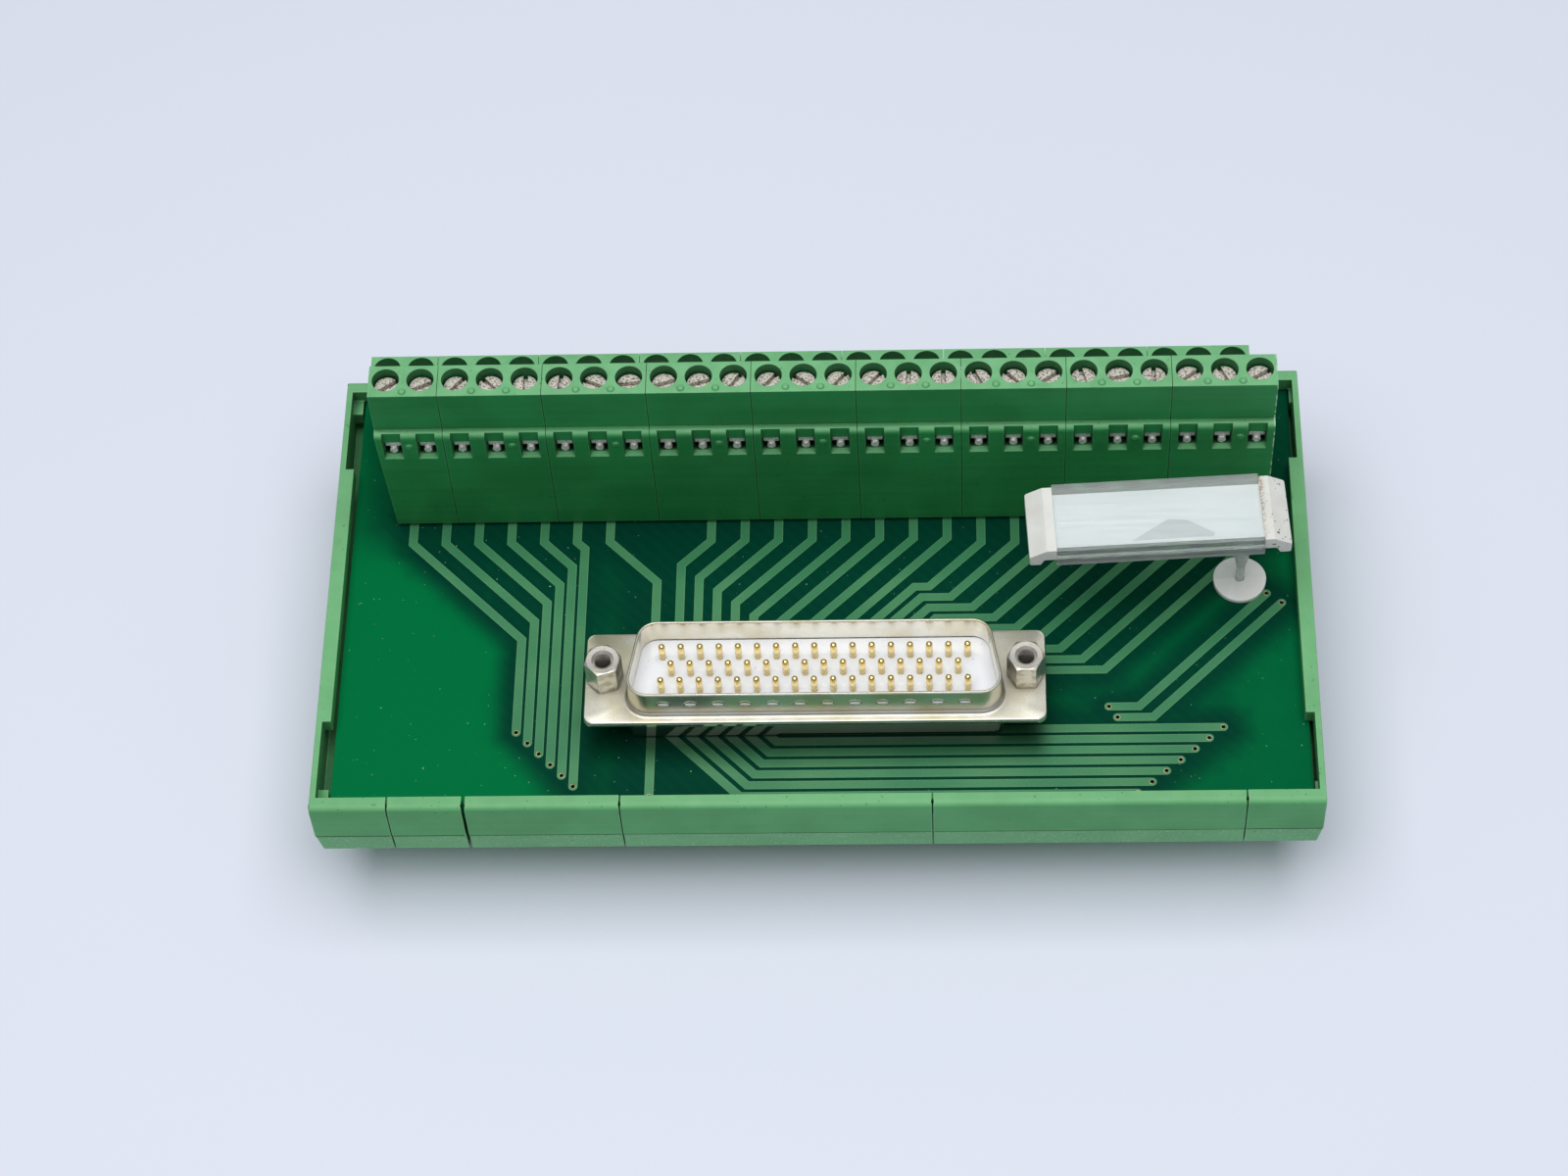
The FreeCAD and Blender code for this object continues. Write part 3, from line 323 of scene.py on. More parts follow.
board_mesh, board_shape = merged_copy("resist_board", "circuit_board")
for axis in (0, 1):
    cut = board_low[axis] + board_cell
    while cut < board_high[axis]:
        spot, normal = Vector(), Vector()
        spot[axis] = cut
        normal[axis] = 1
        everything = board_shape.verts[:] + board_shape.edges[:] + board_shape.faces[:]
        bmesh.ops.bisect_plane(board_shape, geom=everything, dist=cut_tolerance, plane_co=spot,
                               plane_no=normal)
        cut += board_cell
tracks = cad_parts["copper_tracks"].data
copper = BVHTree.FromPolygons([v.co for v in tracks.vertices], [p.vertices for p in tracks.polygons])
layer = board_shape.verts.layers.float.new("unshaded_free_of_copper")
for vert in board_shape.verts:
    distance = copper.find_nearest(vert.co)[3]
    free = min(max((distance - halo_start) / (halo_end - halo_start), 0), 1)
    outside = min(max((abs(vert.co.x) - halo_inside) / (halo_outside - halo_inside), 0), 1)
    # Painted shadow of the terminal row: darker in front of the blocks and beside their left end; the right
    # half is darker by a fixed share.
    ahead = min(max((block_face - vert.co.y) / row_shade, 0), 1)
    row = min(max((vert.co.x - row_start) / row_shade + 1, 0), 1)
    side = right_share if vert.co.x > 0 else 1
    vert[layer] = free * outside * side * (1 - row_depth * row * (1 - ahead))
piece("resist_board", board_mesh, board_shape, solder_resist(), "carrier", "board_laminate", "circuit_board")


# Copper tracks: etched copper under the same resist, so they stand a little proud and look paler.
# Where a track ends, its plated hole keeps a bare rim of cream-coloured metal, sunk a little into the track.
track_rim = 0.52 * MM
track_hole = 0.3 * MM
rim_height = 0.05 * MM
rim_steps = 20
rim_outline = ((track_hole, -rim_height), (track_hole, rim_height * 0.6), (track_hole * 1.3, rim_height),
               (track_rim * 0.8, rim_height * 0.7), (track_rim, -rim_height))
track_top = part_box("copper_tracks")[1].z
front_y = cad_box[0].y


def masked_copper():
    material, tree, skin = blank("masked_copper")
    spot = place(tree)
    cloud = ease(tree, noise(tree, spot, 16 * MM, 2.0), 0.35, 0.65)
    colour = blend(tree, cloud, srgb(56, 126, 84), srgb(74, 138, 92))
    specks = ease(tree, noise(tree, spot, 0.22 * MM, 2.0), 0.5, 0.64)
    colour = blend(tree, sums(tree, "MULTIPLY", specks, 0.25), colour, srgb(36, 96, 62))
    colour = blend(tree, sums(tree, "MULTIPLY", edges_of(tree, 0.2 * MM), 0.7), colour, srgb(120, 168, 122))
    # Painted shadow under and in front of the connector's flange.
    flange_shadow = sums(tree, "MULTIPLY", below_flange(tree, spot), 0.85)
    colour = blend(tree, flange_shadow, colour, srgb(2, 42, 23))
    rough = span(tree, noise(tree, spot, 3 * MM), 0.28, 0.45)
    feed(tree, skin, {"Base Color": colour, "Roughness": rough, "Specular IOR Level": 0.3})
    return material


def bare_rim():
    material, tree, skin = blank("bare_rim")
    cloud = noise(tree, place(tree), 0.5 * MM)
    colour = blend(tree, ease(tree, cloud, 0.35, 0.65), srgb(184, 184, 138), srgb(124, 146, 100))
    feed(tree, skin, {"Base Color": colour, "Roughness": span(tree, cloud, 0.3, 0.5), "Metallic": 0.3})
    return material


def via_places():
    """Where the tracks end in plated holes: x from the middle of the carrier, y from its front."""
    for k in range(6):
        yield (-44.0 + 1.75 * k) * MM, (14.6 - 1.85 * k) * MM
    yield -24.15 * MM, 3.6 * MM
    for k in range(7):
        yield (46.4 + 2.13 * k) * MM, (3.45 + 1.83 * k) * MM
    for x, y in ((42.7, 18.1), (43.9, 16.25), (66.6, 37.6), (68.75, 35.9)):
        yield x * MM, y * MM


dress(["copper_tracks"], masked_copper(), 0)
rim_mesh = bpy.data.meshes.new("via_rims")
rim_shape = bmesh.new()
for x, y in via_places():
    section = [rim_shape.verts.new((x + reach, front_y + y, track_top + rise)) for reach, rise in rim_outline]
    line = [rim_shape.edges.new(pair) for pair in zip(section, section[1:] + section[:1])]
    bmesh.ops.spin(rim_shape, geom=section + line, cent=(x, front_y + y, 0), axis=(0, 0, 1),
                   angle=math.tau, steps=rim_steps, use_merge=True)
bmesh.ops.recalc_face_normals(rim_shape, faces=rim_shape.faces)
for face in rim_shape.faces:
    face.smooth = True
piece("via_rims", rim_mesh, rim_shape, bare_rim(), "carrier", "masked_copper")


# Terminal housings: nine stepped double-level blocks in green polyamide, soldered side by side.
# The moulds left fine lines across the tall faces, the tops are rubbed chalky under a painted sheen, and the
# last edge is chipped.
block_nodes = ["terminal_block_%d" % number for number in range(1, 10)]
terminal_plastic = moulded("terminal_plastic", srgb(26, 130, 66), srgb(20, 120, 58),
                           srgb(140, 202, 148), srgb(14, 44, 26), 0.6, 0.62, 0.3)


def overlay(material, share, colour):
    """Lays one more colour over a finished material, where the share is 1."""
    tree = material.node_tree
    skin = tree.nodes["Principled BSDF"]
    under = skin.inputs["Base Color"].links[0].from_socket
    feed(tree, skin, {"Base Color": blend(tree, share, under, colour)})


plastic_tree = terminal_plastic.node_tree
row_spot = place(plastic_tree)
row_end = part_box("terminal_block_9")[1].x
row_x = add(plastic_tree, "SeparateXYZ", {"Vector": row_spot}).outputs["X"]
last_edge = ease(plastic_tree, row_x, row_end - 0.4 * MM, row_end - 0.15 * MM)
nicks = ease(plastic_tree, noise(plastic_tree, row_spot, 1.2 * MM), 0.46, 0.56)
nicks = sums(plastic_tree, "MULTIPLY", nicks, edges_of(plastic_tree, 0.45 * MM))
overlay(terminal_plastic, sums(plastic_tree, "MULTIPLY", last_edge, nicks), srgb(206, 226, 204))
dress(block_nodes, terminal_plastic, 0)


# Clamp screws, wire clamps and solder tails: plated steel screws in the wells turn against lifting cages.
# The plating is worn and stained, and the metal shows again behind the windows of the shoulder.
clamp_edge = 0.08 * MM


def worn_plating(name, bright, stain, grease_and_shade, amount, depth):
    """Plated steel with stained pits, more of them with a larger amount, and grease and painted shade in its
    hollows.
    """
    material, tree, skin = blank(name)
    spot = place(tree)
    pits = ease(tree, noise(tree, spot, 0.34 * MM, 5.0), 0.56 - amount, 0.7 - amount)
    colour = blend(tree, sums(tree, "MULTIPLY", pits, 0.85), bright, stain)
    # Grease and painted shade darken the slots and the hollows.
    colour = blend(tree, sums(tree, "MULTIPLY", corners_of(tree, 0.5 * MM), depth), colour, grease_and_shade)
    rough = span(tree, noise(tree, spot, 0.6 * MM), 0.3, 0.6)
    feed(tree, skin, {"Base Color": colour, "Roughness": rough,
                      "Metallic": span(tree, pits, 0.6, 0.2),
                      "Normal": bumps(tree, noise(tree, spot, 0.25 * MM), 0.02 * MM)})
    return material


screw_plating = worn_plating("worn_screw_plating", srgb(224, 218, 206), srgb(92, 80, 70),
                             srgb(58, 44, 36), 0.08, 0.9)
clamp_plating = worn_plating("worn_clamp_plating", srgb(244, 242, 238), srgb(150, 142, 132),
                             srgb(120, 114, 108), 0.04, 0.3)
dress(["upper_terminal_screws", "lower_terminal_screws"], screw_plating, 0)
dress(["upper_wire_clamps", "lower_wire_clamps", "upper_solder_tails", "lower_solder_tails"],
      clamp_plating, clamp_edge)


# Connector body: a white moulded insulator sits in a drawn steel cup under the flange.
# Two turned sleeves carry the flange on the board.
connector_y = (shell_low.y + shell_high.y) / 2
insulator_edge = 0.1 * MM
cup_edge = 0.2 * MM
sleeve_edge = 0.1 * MM
lining_fade = 0.02 * MM


def insulator_finish():
    """White glossy moulding with a few flecks, lined with bright tin where it sits in the cup."""
    material, tree, skin = blank("insulator_white")
    spot = place(tree)
    height = add(tree, "SeparateXYZ", {"Vector": spot}).outputs["Z"]
    lined = ease(tree, height, shell_low.z + lining_fade, shell_low.z - lining_fade)
    cloud = ease(tree, noise(tree, spot, 6 * MM), 0.35, 0.65)
    colour = blend(tree, cloud, srgb(236, 239, 243), srgb(230, 234, 240))
    flecks = ease(tree, noise(tree, spot, 0.4 * MM, 1.0), 0.76, 0.8)
    colour = blend(tree, sums(tree, "MULTIPLY", flecks, 0.5), colour, srgb(96, 84, 70))
    colour = blend(tree, lined, colour, srgb(214, 212, 204))
    rough = span(tree, noise(tree, spot, 2 * MM), 0.05, 0.1)
    feed(tree, skin, {"Base Color": colour, "Roughness": rough, "Metallic": lined,
                      "Normal": bumps(tree, noise(tree, spot, 0.2 * MM), 0.003 * MM)})
    return material


def drawn_steel(name, outside, inside):
    """Tinned steel: dull and grainy on the flat, with painted shade in its hollows and a roughness for the
    walls' outside and inside.
    """
    material, tree, skin = blank(name)
    spot = place(tree)
    flat = ease(tree, sums(tree, "ABSOLUTE", slope(tree)), 0.7, 0.98)
    cloud = ease(tree, noise(tree, spot, 6 * MM, 2.0), 0.35, 0.7)
    plate = blend(tree, cloud, srgb(206, 204, 192), srgb(188, 184, 160))
    grain = ease(tree, noise(tree, spot, 0.13 * MM, 2.0), 0.38, 0.66)
    plate = blend(tree, sums(tree, "MULTIPLY", grain, 0.34), plate, srgb(150, 146, 124))
    wall = blend(tree, cloud, srgb(240, 237, 226), srgb(226, 218, 194))
    colour = blend(tree, flat, wall, plate)
    pits = ease(tree, noise(tree, spot, 0.3 * MM, 2.0), 0.7, 0.78)
    colour = blend(tree, sums(tree, "MULTIPLY", pits, 0.4), colour, srgb(112, 102, 82))
    # Painted shade in the hollows: in the dimples and at the foot of the collar.
    colour = blend(tree, sums(tree, "MULTIPLY", corners_of(tree, 0.6 * MM), 0.7), colour, srgb(84, 82, 66))
    normal = add(tree, "NewGeometry", {}).outputs["True Normal"]
    middle = (0, connector_y, 0)
    radial = add(tree, "VectorMath", {0: spot, 1: middle}, operation="SUBTRACT").outputs["Vector"]
    turned = add(tree, "VectorMath", {0: radial, 1: normal}, operation="DOT_PRODUCT").outputs["Value"]
    wall_rough = span(tree, ease(tree, turned, -MM, MM), inside, outside)
    rough = add(tree, "Mix", {0: flat, 2: wall_rough, 3: 0.45}).outputs[0]
    rough = sums(tree, "MULTIPLY_ADD", noise(tree, spot, 1.5 * MM), 0.06, rough)
    feed(tree, skin, {"Base Color": colour, "Roughness": rough, "Metallic": 1.0,
                      "Normal": bumps(tree, noise(tree, spot, 1.2 * MM), 0.008 * MM)})
    return material


dress(["connector_insulator"], insulator_finish(), insulator_edge)
dress(["connector_rear_shell"], drawn_steel("rear_shell_steel", 0.04, 0.04), cup_edge, close_edges=True)
dress(["flange_spacer_left", "flange_spacer_right"], drawn_steel("spacer_steel", 0.3, 0.3), sleeve_edge)


# Contacts: fifty turned brass pins, gilded, with domed tips above the insulator and square tails below it.
# They are pressed into the insulator and soldered into the board.
contact_low, contact_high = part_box("connector_contacts")
contact_pitch = 2.77 * MM
contact_rows = ((1, 17), (0, 16), (-1, 17))
row_pitch = 2.84 * MM
pin_radius = 0.51 * MM
pin_sink = 0.1 * MM
pin_steps = 14
dome_height = 0.9 * pin_radius
tail_width = 0.6 * MM
insulator_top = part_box("connector_insulator")[1].z


def gilding():
    material, tree, skin = blank("gilding")
    spot = place(tree)
    colour = blend(tree, noise(tree, spot, 1.5 * MM), srgb(255, 234, 172), srgb(250, 222, 148))
    rough = span(tree, noise(tree, place(tree, (1, 1, 0.15)), 0.25 * MM), 0.16, 0.34)
    feed(tree, skin, {"Base Color": colour, "Roughness": rough, "Metallic": 1.0})
    return material


def add_contact(shape, x, y):
    dome = [(pin_radius * math.cos(turn), contact_high.z - dome_height * (1 - math.sin(turn)))
            for turn in (math.radians(angle) for angle in (0, 25, 50, 75))]
    pin_base = insulator_top - pin_sink
    outline = [(0, pin_base), (pin_radius, pin_base)] + dome + [(0, contact_high.z)]
    section = [shape.verts.new((x + reach, y, height)) for reach, height in outline]
    line = [shape.edges.new(pair) for pair in zip(section, section[1:])]
    bmesh.ops.spin(shape, geom=section + line, cent=(x, y, 0), axis=(0, 0, 1), angle=math.tau,
                   steps=pin_steps, use_merge=True)
    tail = Matrix.Translation((x, y, (contact_low.z + insulator_top) / 2))
    tail @= Matrix.Diagonal((tail_width, tail_width, insulator_top - contact_low.z, 1))
    bmesh.ops.create_cube(shape, size=1, matrix=tail)


contact_mesh = bpy.data.meshes.new("gilded_contacts")
contact_shape = bmesh.new()
for row, count in contact_rows:
    for k in range(count):
        add_contact(contact_shape, (k - (count - 1) / 2) * contact_pitch, connector_y + row * row_pitch)
bmesh.ops.remove_doubles(contact_shape, verts=contact_shape.verts, dist=merge_gap)
bmesh.ops.recalc_face_normals(contact_shape, faces=contact_shape.faces)
for face in contact_shape.faces:
    face.smooth = len(face.verts) == 3 or face.calc_center_median().z > insulator_top - 2 * pin_sink
piece("gilded_contacts", contact_mesh, contact_shape, gilding(), "carrier", "gold_contacts",
      "connector_contacts")


# Front shell: tinned sheet steel drawn into a D-shaped collar on a flat flange, held by the jackscrews.
# The rim is folded over smoothly, and a row of pressed dimples on each long side grips the mating plug.
flange_top = shell_low.z + 0.5 * MM
collar_length = 55.2 * MM
collar_depth = 12.8 * MM
collar_slope = math.radians(10)
collar_round = 3.0 * MM
collar_wall = 0.45 * MM
foot_round = 0.75 * MM
flange_round = 1.3 * MM
flange_edge = 0.12 * MM
screw_hole = 1.6 * MM
jackscrew_x = 30.555 * MM
dimple_pitch = 3.95 * MM
dimple_count = 12
dimple_size = (1.05 * MM, 0.43 * MM, 0.85 * MM)
dimple_lift = 0.13 * MM
dimple_height = shell_high.z - 2.3 * MM
bend_steps = 10
hole_steps = 24
shell_turn = 45


def collar_bends():
    """The middle and the angle of each point of the collar's rounded corners, right round."""
    half_x, half_y = collar_length / 2, collar_depth / 2
    lean = math.sin(collar_slope)
    front_x = half_x - collar_round * (1 + lean) / math.cos(collar_slope)
    back_x = half_x - (collar_round + (2 * half_y - collar_round) * lean) / math.cos(collar_slope)
    reach_y = half_y - collar_round
    corners = ((front_x, -reach_y, -90, 10), (back_x, reach_y, 10, 90),
               (-back_x, reach_y, 90, 170), (-front_x, -reach_y, 170, 270))
    for x, y, start, end in corners:
        for step in range(bend_steps + 1):
            yield x, connector_y + y, math.radians(start + (end - start) * step / bend_steps)


def ring(shape, points, height):
    loop = [shape.verts.new((x, y, height)) for x, y in points]
    return [shape.edges.new(pair) for pair in zip(loop, loop[1:] + loop[:1])]


def collar_ring(shape, inset, height):
    reach = collar_round - inset
    return ring(shape, [(x + reach * math.cos(turn), y + reach * math.sin(turn))
                        for x, y, turn in collar_bends()], height)


def plate_ring(shape, inset, height):
    points = []
    radius = flange_round - inset
    for corner in range(4):
        side_x = 1 if corner in (0, 3) else -1
        side_y = 1 if corner in (0, 1) else -1
        for step in range(7):
            turn = math.radians(90 * corner + 15 * step)
            points.append((side_x * (shell_high.x - flange_round) + radius * math.cos(turn),
                           connector_y + side_y * ((shell_high.y - shell_low.y) / 2 - flange_round)
                           + radius * math.sin(turn)))
    return ring(shape, points, height)


def hole_ring(shape, x, height):
    turns = [math.tau * step / hole_steps for step in range(hole_steps)]
    return ring(shape, [(x + screw_hole * math.cos(turn), connector_y + screw_hole * math.sin(turn))
                        for turn in turns], height)


def bridge(shape, rings):
    for lower, upper in zip(rings, rings[1:]):
        bmesh.ops.bridge_loops(shape, edges=lower + upper)


def front_shell_shape():
    shape = bmesh.new()
    collar = []
    for step in range(6):
        turn = math.radians(18 * step)
        collar.append(collar_ring(shape, foot_round * (math.sin(turn) - 1),
                                  flange_top + foot_round * (1 - math.cos(turn))))
    for step in range(7):
        turn = math.radians(30 * step)
        collar.append(collar_ring(shape, collar_wall / 2 * (1 - math.cos(turn)),
                                  shell_high.z - collar_wall / 2 * (1 - math.sin(turn))))
    collar.append(collar_ring(shape, collar_wall, shell_low.z))
    bridge(shape, collar)
    plate = [plate_ring(shape, flange_edge, flange_top), plate_ring(shape, 0, flange_top - flange_edge),
             plate_ring(shape, 0, shell_low.z + flange_edge), plate_ring(shape, flange_edge, shell_low.z)]
    bridge(shape, plate)
    top_edges = plate[0] + collar[0]
    bottom_edges = plate[-1] + collar[-1]
    for side in (-1, 1):
        holes = [hole_ring(shape, side * jackscrew_x, height) for height in (flange_top, shell_low.z)]
        bridge(shape, holes)
        top_edges += holes[0]
        bottom_edges += holes[1]
    for edges in (top_edges, bottom_edges):
        bmesh.ops.triangle_fill(shape, use_beauty=True, edges=edges)
    bmesh.ops.recalc_face_normals(shape, faces=shape.faces)
    return shape


def dimple_cutters():
    shape = bmesh.new()
    for side in (-1, 1):
        for k in range(dimple_count):
            x = (k - (dimple_count - 1) / 2) * dimple_pitch
            y = connector_y + side * (collar_depth / 2 + dimple_lift)
            bmesh.ops.create_uvsphere(shape, u_segments=20, v_segments=14, radius=1,
                                      matrix=Matrix.LocRotScale((x, y, dimple_height), None, dimple_size))
    mesh = bpy.data.meshes.new("dimple_cutters")
    shape.to_mesh(mesh)
    shape.free()
    return bpy.data.objects.new("dimple_cutters", mesh)


def smoothed(made, turn):
    """Smooth shading, broken where the surface turns by more than the angle."""
    for face in made.data.polygons:
        face.use_smooth = True
    made.data.set_sharp_from_angle(angle=math.radians(turn))
    shading = made.modifiers.new("shading", "WEIGHTED_NORMAL")
    shading.keep_sharp = True


shell_steel = drawn_steel("front_shell_steel", 0.26, 0.1)
steel_tree = shell_steel.node_tree
steel_height = add(steel_tree, "SeparateXYZ", {"Vector": place(steel_tree)}).outputs["Z"]
# Painted shade along the rims of the pressed dimples.
dimple_gap = sums(steel_tree, "ABSOLUTE", sums(steel_tree, "SUBTRACT", steel_height, dimple_height))
dimple_band = ease(steel_tree, dimple_gap, 1.2 * MM, MM)
dimple_lines = sums(steel_tree, "MULTIPLY", edges_of(steel_tree, 0.16 * MM), dimple_band)
overlay(shell_steel, sums(steel_tree, "MULTIPLY", dimple_lines, 0.85), srgb(52, 54, 42))
shell_mesh = bpy.data.meshes.new("drawn_shell")
drawn_shell = piece("drawn_shell", shell_mesh, front_shell_shape(), shell_steel, "carrier", "tinned_shell",
                    "connector_front_shell")
cutters = dimple_cutters()
bpy.context.scene.collection.objects.link(cutters)
press = drawn_shell.modifiers.new("dimples", "BOOLEAN")
press.object = cutters
press.operation = "DIFFERENCE"
bpy.context.view_layer.update()
pressed = bpy.data.meshes.new_from_object(drawn_shell.evaluated_get(bpy.context.evaluated_depsgraph_get()))
drawn_shell.modifiers.clear()
drawn_shell.data = pressed
bpy.data.objects.remove(cutters)
smoothed(drawn_shell, shell_turn)


# Jackscrews: nickel-plated hexagon standoffs with a bevelled round top and a female thread.
# They hold the connector down and take the lock screws of the plug; one stands turned against the other.
jack_flats = 2.4 * MM
jack_ring = 2.35 * MM
jack_mouth = 1.62 * MM
thread_root = 1.5 * MM
thread_crest = 1.2 * MM
thread_pitch = 0.62 * MM
thread_start = 0.4 * MM
thread_floor = 0.6 * MM
jack_bevel = math.radians(30)
jack_sides = math.radians(60)
jack_shank = 1.125 * MM
jack_step = 0.02 * MM
jack_steps = 48
jack_turn = 25


def nickel_plate():
    material, tree, skin = blank("nickel_plate")
    spot = place(tree)
    dull = ease(tree, noise(tree, spot, 1.2 * MM, 4.0), 0.42, 0.66)
    colour = blend(tree, dull, srgb(222, 219, 210), srgb(196, 190, 172))
    # Painted shade darkens the bore and the corners of the jackscrew.
    colour = blend(tree, sums(tree, "MULTIPLY", corners_of(tree, 2.5 * MM), 0.75), colour, srgb(84, 74, 66))
    feed(tree, skin, {"Base Color": colour, "Metallic": 0.85, "Roughness": span(tree, dull, 0.28, 0.42),
                      "Normal": bumps(tree, noise(tree, spot, 0.4 * MM), 0.01 * MM)})
    return material


def jackscrew(name, node, hexagon_turn):
    low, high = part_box(node)
    x, y = (low.x + high.x) / 2, (low.y + high.y) / 2
    turns = [math.tau * step / jack_steps for step in range(jack_steps)]

    def hexagon_reach(turn):
        from_flat = (turn - hexagon_turn) % jack_sides - jack_sides / 2
        return jack_flats / math.cos(from_flat)

    def jack_loop(reach, height):
        loop = [shape.verts.new((x + reach(turn) * math.cos(turn), y + reach(turn) * math.sin(turn),
                                 height(turn))) for turn in turns]
        return [shape.edges.new(pair) for pair in zip(loop, loop[1:] + loop[:1])]

    def level(value):
        return lambda turn: value

    def bevelled(turn):
        return high.z - (hexagon_reach(turn) - jack_ring) * math.tan(jack_bevel)

    shape = bmesh.new()
    loops = [jack_loop(level(jack_shank), level(low.z)),
             jack_loop(level(jack_shank), level(flange_top - jack_step)),
             jack_loop(hexagon_reach, level(flange_top)),
             jack_loop(hexagon_reach, bevelled),
             jack_loop(level(jack_ring), level(high.z)),
             jack_loop(level(jack_mouth), level(high.z - jack_step))]
    depth = high.z - thread_start
    while depth > flange_top + thread_floor:
        loops.append(jack_loop(level(thread_crest), level(depth)))
        loops.append(jack_loop(level(thread_root), level(depth - thread_pitch / 2)))
        depth -= thread_pitch
    bridge(shape, loops)
    bmesh.ops.holes_fill(shape, edges=loops[0] + loops[-1])
    bmesh.ops.recalc_face_normals(shape, faces=shape.faces)
    made = piece(name, bpy.data.meshes.new(name), shape, nickel, "carrier", "nickel_steel", node)
    smoothed(made, jack_turn)


nickel = nickel_plate()
jackscrew("turned_jackscrew_left", "jackscrew_left", math.radians(16))
jackscrew("turned_jackscrew_right", "jackscrew_right", math.radians(0))


# Label holder: a white foot pegged into the board, a clear post and profile, and white end caps.
# The profile is extruded acrylic over a paper strip, and the right cap is soiled.
cap_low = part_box("label_cap_right")[0]
cap_edge = 0.15 * MM
acrylic_edge = 0.06 * MM
paper_edge = 0.03 * MM
# Outline of the painted reflection on the paper, in millimetres.
reflection_corners = ((45.9, -3.9), (51.4, 0.0), (54.1, -0.2), (58.1, -2.5), (57.9, -3.2))


def label_white(name, tone, shade):
    """White moulding, soiled and flecked from the seam of the right cap outwards."""
    material, tree, skin = blank(name)
    spot = place(tree)
    colour = blend(tree, ease(tree, noise(tree, spot, 4 * MM), 0.35, 0.65), tone, shade)
    across, _, height = add(tree, "SeparateXYZ", {"Vector": spot}).outputs
    raised = ease(tree, height, cap_low.z - 1 * MM, cap_low.z)
    soiled = sums(tree, "MULTIPLY", raised, ease(tree, across, cap_low.x - 0.1 * MM, cap_low.x))
    seam = ease(tree, across, cap_low.x + 1.1 * MM, cap_low.x + 0.2 * MM)
    smears = ease(tree, noise(tree, spot, 0.5 * MM, 4.0), 0.62, 0.42)
    smears = sums(tree, "MULTIPLY", sums(tree, "MULTIPLY", smears, seam), 0.85)
    colour = blend(tree, sums(tree, "MULTIPLY", smears, soiled), colour, srgb(150, 124, 96))
    flecks = ease(tree, noise(tree, spot, 0.5 * MM, 1.0), 0.68, 0.73)
    colour = blend(tree, sums(tree, "MULTIPLY", flecks, soiled), colour, srgb(74, 50, 40))
    rough = span(tree, noise(tree, spot, 2 * MM), 0.4, 0.6)
    feed(tree, skin, {"Base Color": colour, "Roughness": rough,
                      "Normal": bumps(tree, noise(tree, spot, 0.25 * MM), 0.012 * MM)})
    return material


def clear_acrylic(name, clear, low, high):
    """Clear plastic, streaked along its length; light passes it on the way to the paper."""
    material, tree, skin = blank(name)
    streak = ease(tree, noise(tree, place(tree, (0.02, 1, 1)), 0.35 * MM), 0.35, 0.65)
    streak = sums(tree, "MAXIMUM", streak, ease(tree, slope(tree), 0.3, 0.9))
    shadow = add(tree, "LightPath", {}).outputs["Is Shadow Ray"]
    feed(tree, skin, {"Base Color": blend(tree, streak, low, high), "Transmission Weight": clear, "IOR": 1.49,
                      "Roughness": span(tree, streak, 0.04, 0.1),
                      "Alpha": sums(tree, "MULTIPLY_ADD", shadow, -0.5, 1.0)})
    return material


def label_paper():
    """Paper, with a grey patch painted where the clear cover reflects its dark surroundings."""
    material, tree, skin = blank("label_paper")
    spot = place(tree)
    colour = blend(tree, noise(tree, spot, 5 * MM), srgb(232, 238, 240), srgb(227, 234, 236))
    # Painted reflection: the dark surroundings mirrored in the clear cover, laid on the paper as a grey
    # patch.
    painted_reflection = sums(tree, "MULTIPLY", within(tree, spot, reflection_corners), 0.8)
    colour = blend(tree, painted_reflection, colour, srgb(186, 194, 197))
    fibres = noise(tree, place(tree, (0.2, 1, 1)), 0.2 * MM)
    feed(tree, skin, {"Base Color": colour, "Roughness": span(tree, fibres, 0.6, 0.8),
                      "Normal": bumps(tree, fibres, 0.006 * MM)})
    return material


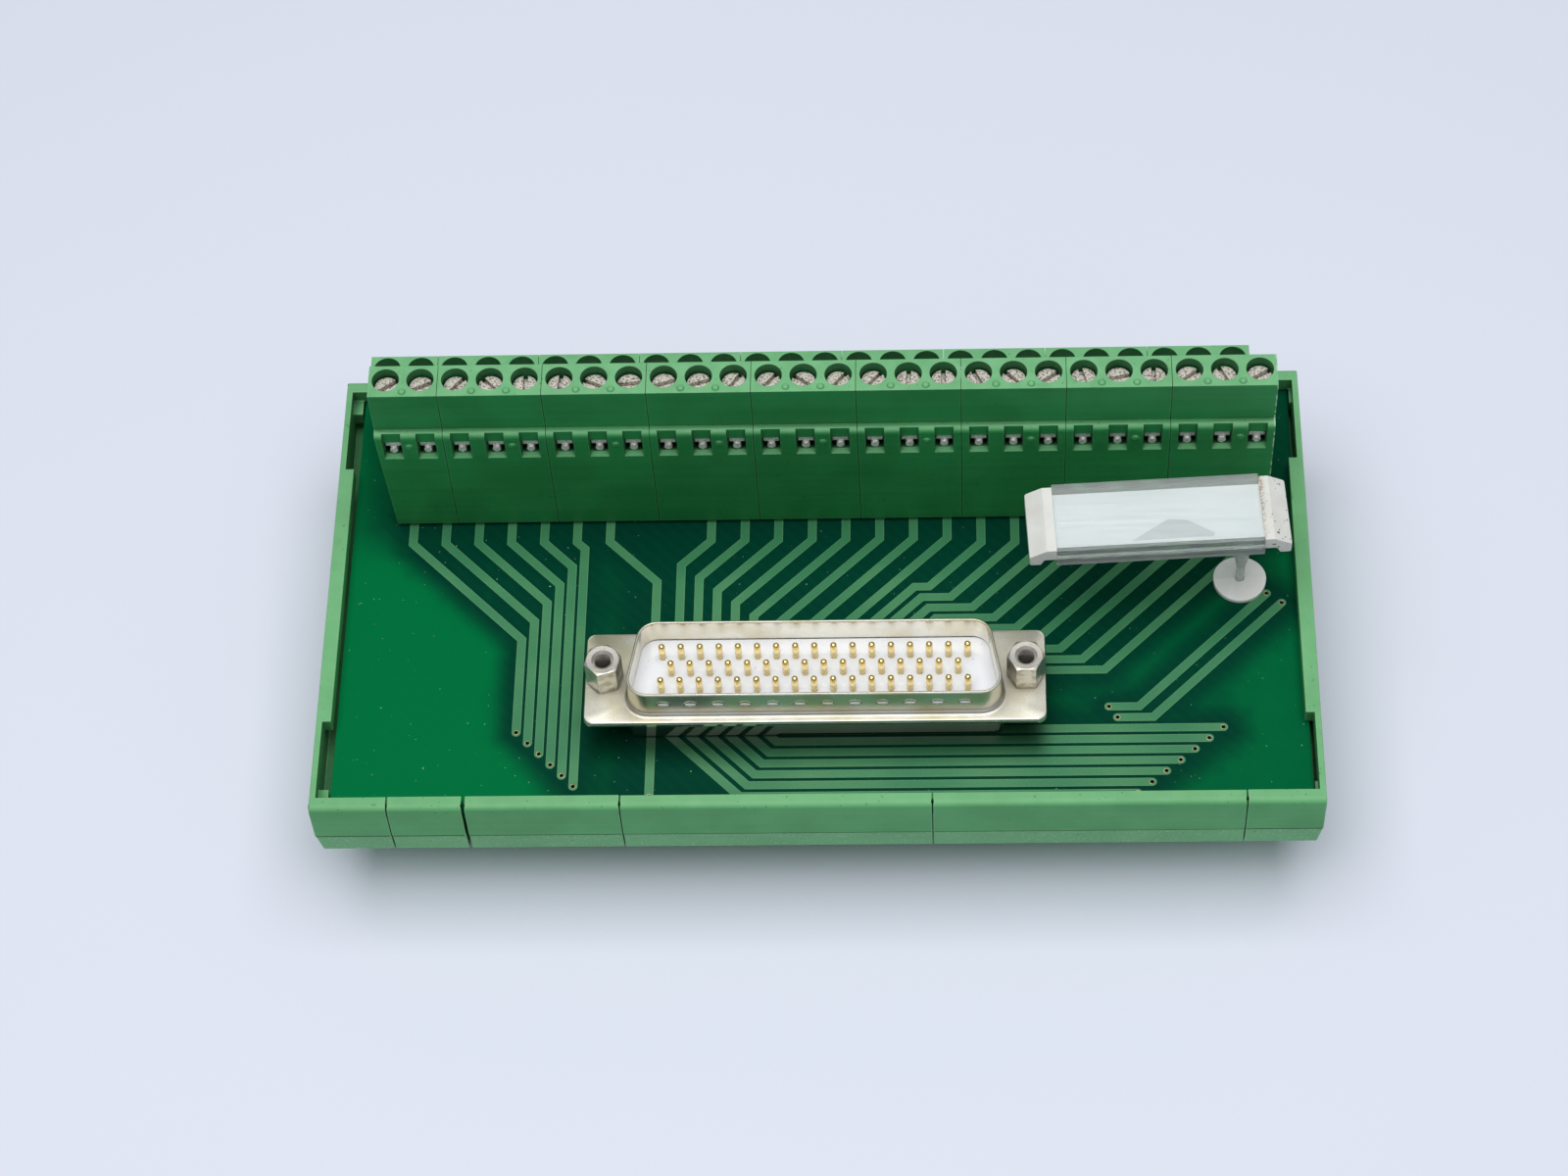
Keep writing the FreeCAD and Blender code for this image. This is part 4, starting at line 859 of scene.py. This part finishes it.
profile_acrylic = clear_acrylic("clear_acrylic", 0.84, srgb(196, 212, 204), srgb(250, 251, 251))
post_acrylic = clear_acrylic("frosted_acrylic", 0.45, srgb(214, 222, 218), srgb(236, 240, 238))
foot_white = label_white("foot_white", srgb(250, 250, 247), srgb(242, 242, 236))
cap_white = label_white("cap_white", srgb(226, 226, 221), srgb(216, 216, 208))
dress(["label_foot"], foot_white, cap_edge, close_edges=True)
dress(["label_cap_left", "label_cap_right"], cap_white, cap_edge, close_edges=True)
dress(["label_profile"], profile_acrylic, acrylic_edge)
dress(["label_post"], post_acrylic, acrylic_edge)
dress(["label_insert"], label_paper(), paper_edge)


# Studio: a plain pale floor, one large soft lamp overhead and a faint even sky.
# The camera stands where the photograph was taken from, in front of the board and above it.
floor_reach = 3.0
camera_place = (20.794 * MM, -325.834 * MM, 514.509 * MM)
camera_turn = (math.radians(33.5486), math.radians(2.4433), math.radians(0.8519))
camera_lens = 90.93
sensor_width = 36
lamp_size = 0.9
lamp_place = (-0.02, -0.12, 0.85)
lamp_power = 7.9
sky_strength = 0.24


def floor_finish():
    material, tree, skin = blank("pale_floor")
    cloud = noise(tree, place(tree), 0.3)
    feed(tree, skin, {"Base Color": blend(tree, cloud, srgb(226, 230, 241), srgb(222, 227, 240)),
                      "Roughness": span(tree, cloud, 0.75, 0.85), "Specular IOR Level": 0.1})
    return material


floor_mesh = bpy.data.meshes.new("floor")
floor_shape = bmesh.new()
bmesh.ops.create_grid(floor_shape, x_segments=1, y_segments=1, size=floor_reach / 2)
floor_shape.to_mesh(floor_mesh)
floor_shape.free()
floor_mesh.materials.append(floor_finish())
floor = bpy.data.objects.new("floor", floor_mesh)
bpy.context.scene.collection.objects.link(floor)

lamp = bpy.data.lights.new("overhead", "AREA")
lamp.shape = "SQUARE"
lamp.size = lamp_size
lamp.energy = lamp_power
lamp_stand = bpy.data.objects.new("overhead", lamp)
lamp_stand.location = lamp_place
bpy.context.scene.collection.objects.link(lamp_stand)

sky = bpy.data.worlds.new("sky")
sky.use_nodes = True
sky.node_tree.nodes["Background"].inputs["Color"].default_value = srgb(240, 244, 255)
sky.node_tree.nodes["Background"].inputs["Strength"].default_value = sky_strength
bpy.context.scene.world = sky

lens = bpy.data.cameras.new("camera")
lens.sensor_fit = "HORIZONTAL"
lens.sensor_width = sensor_width
lens.lens = camera_lens
camera = bpy.data.objects.new("camera", lens)
camera.location = camera_place
camera.rotation_euler = camera_turn
bpy.context.scene.collection.objects.link(camera)
bpy.context.scene.camera = camera
bpy.context.scene.view_settings.view_transform = "Standard"
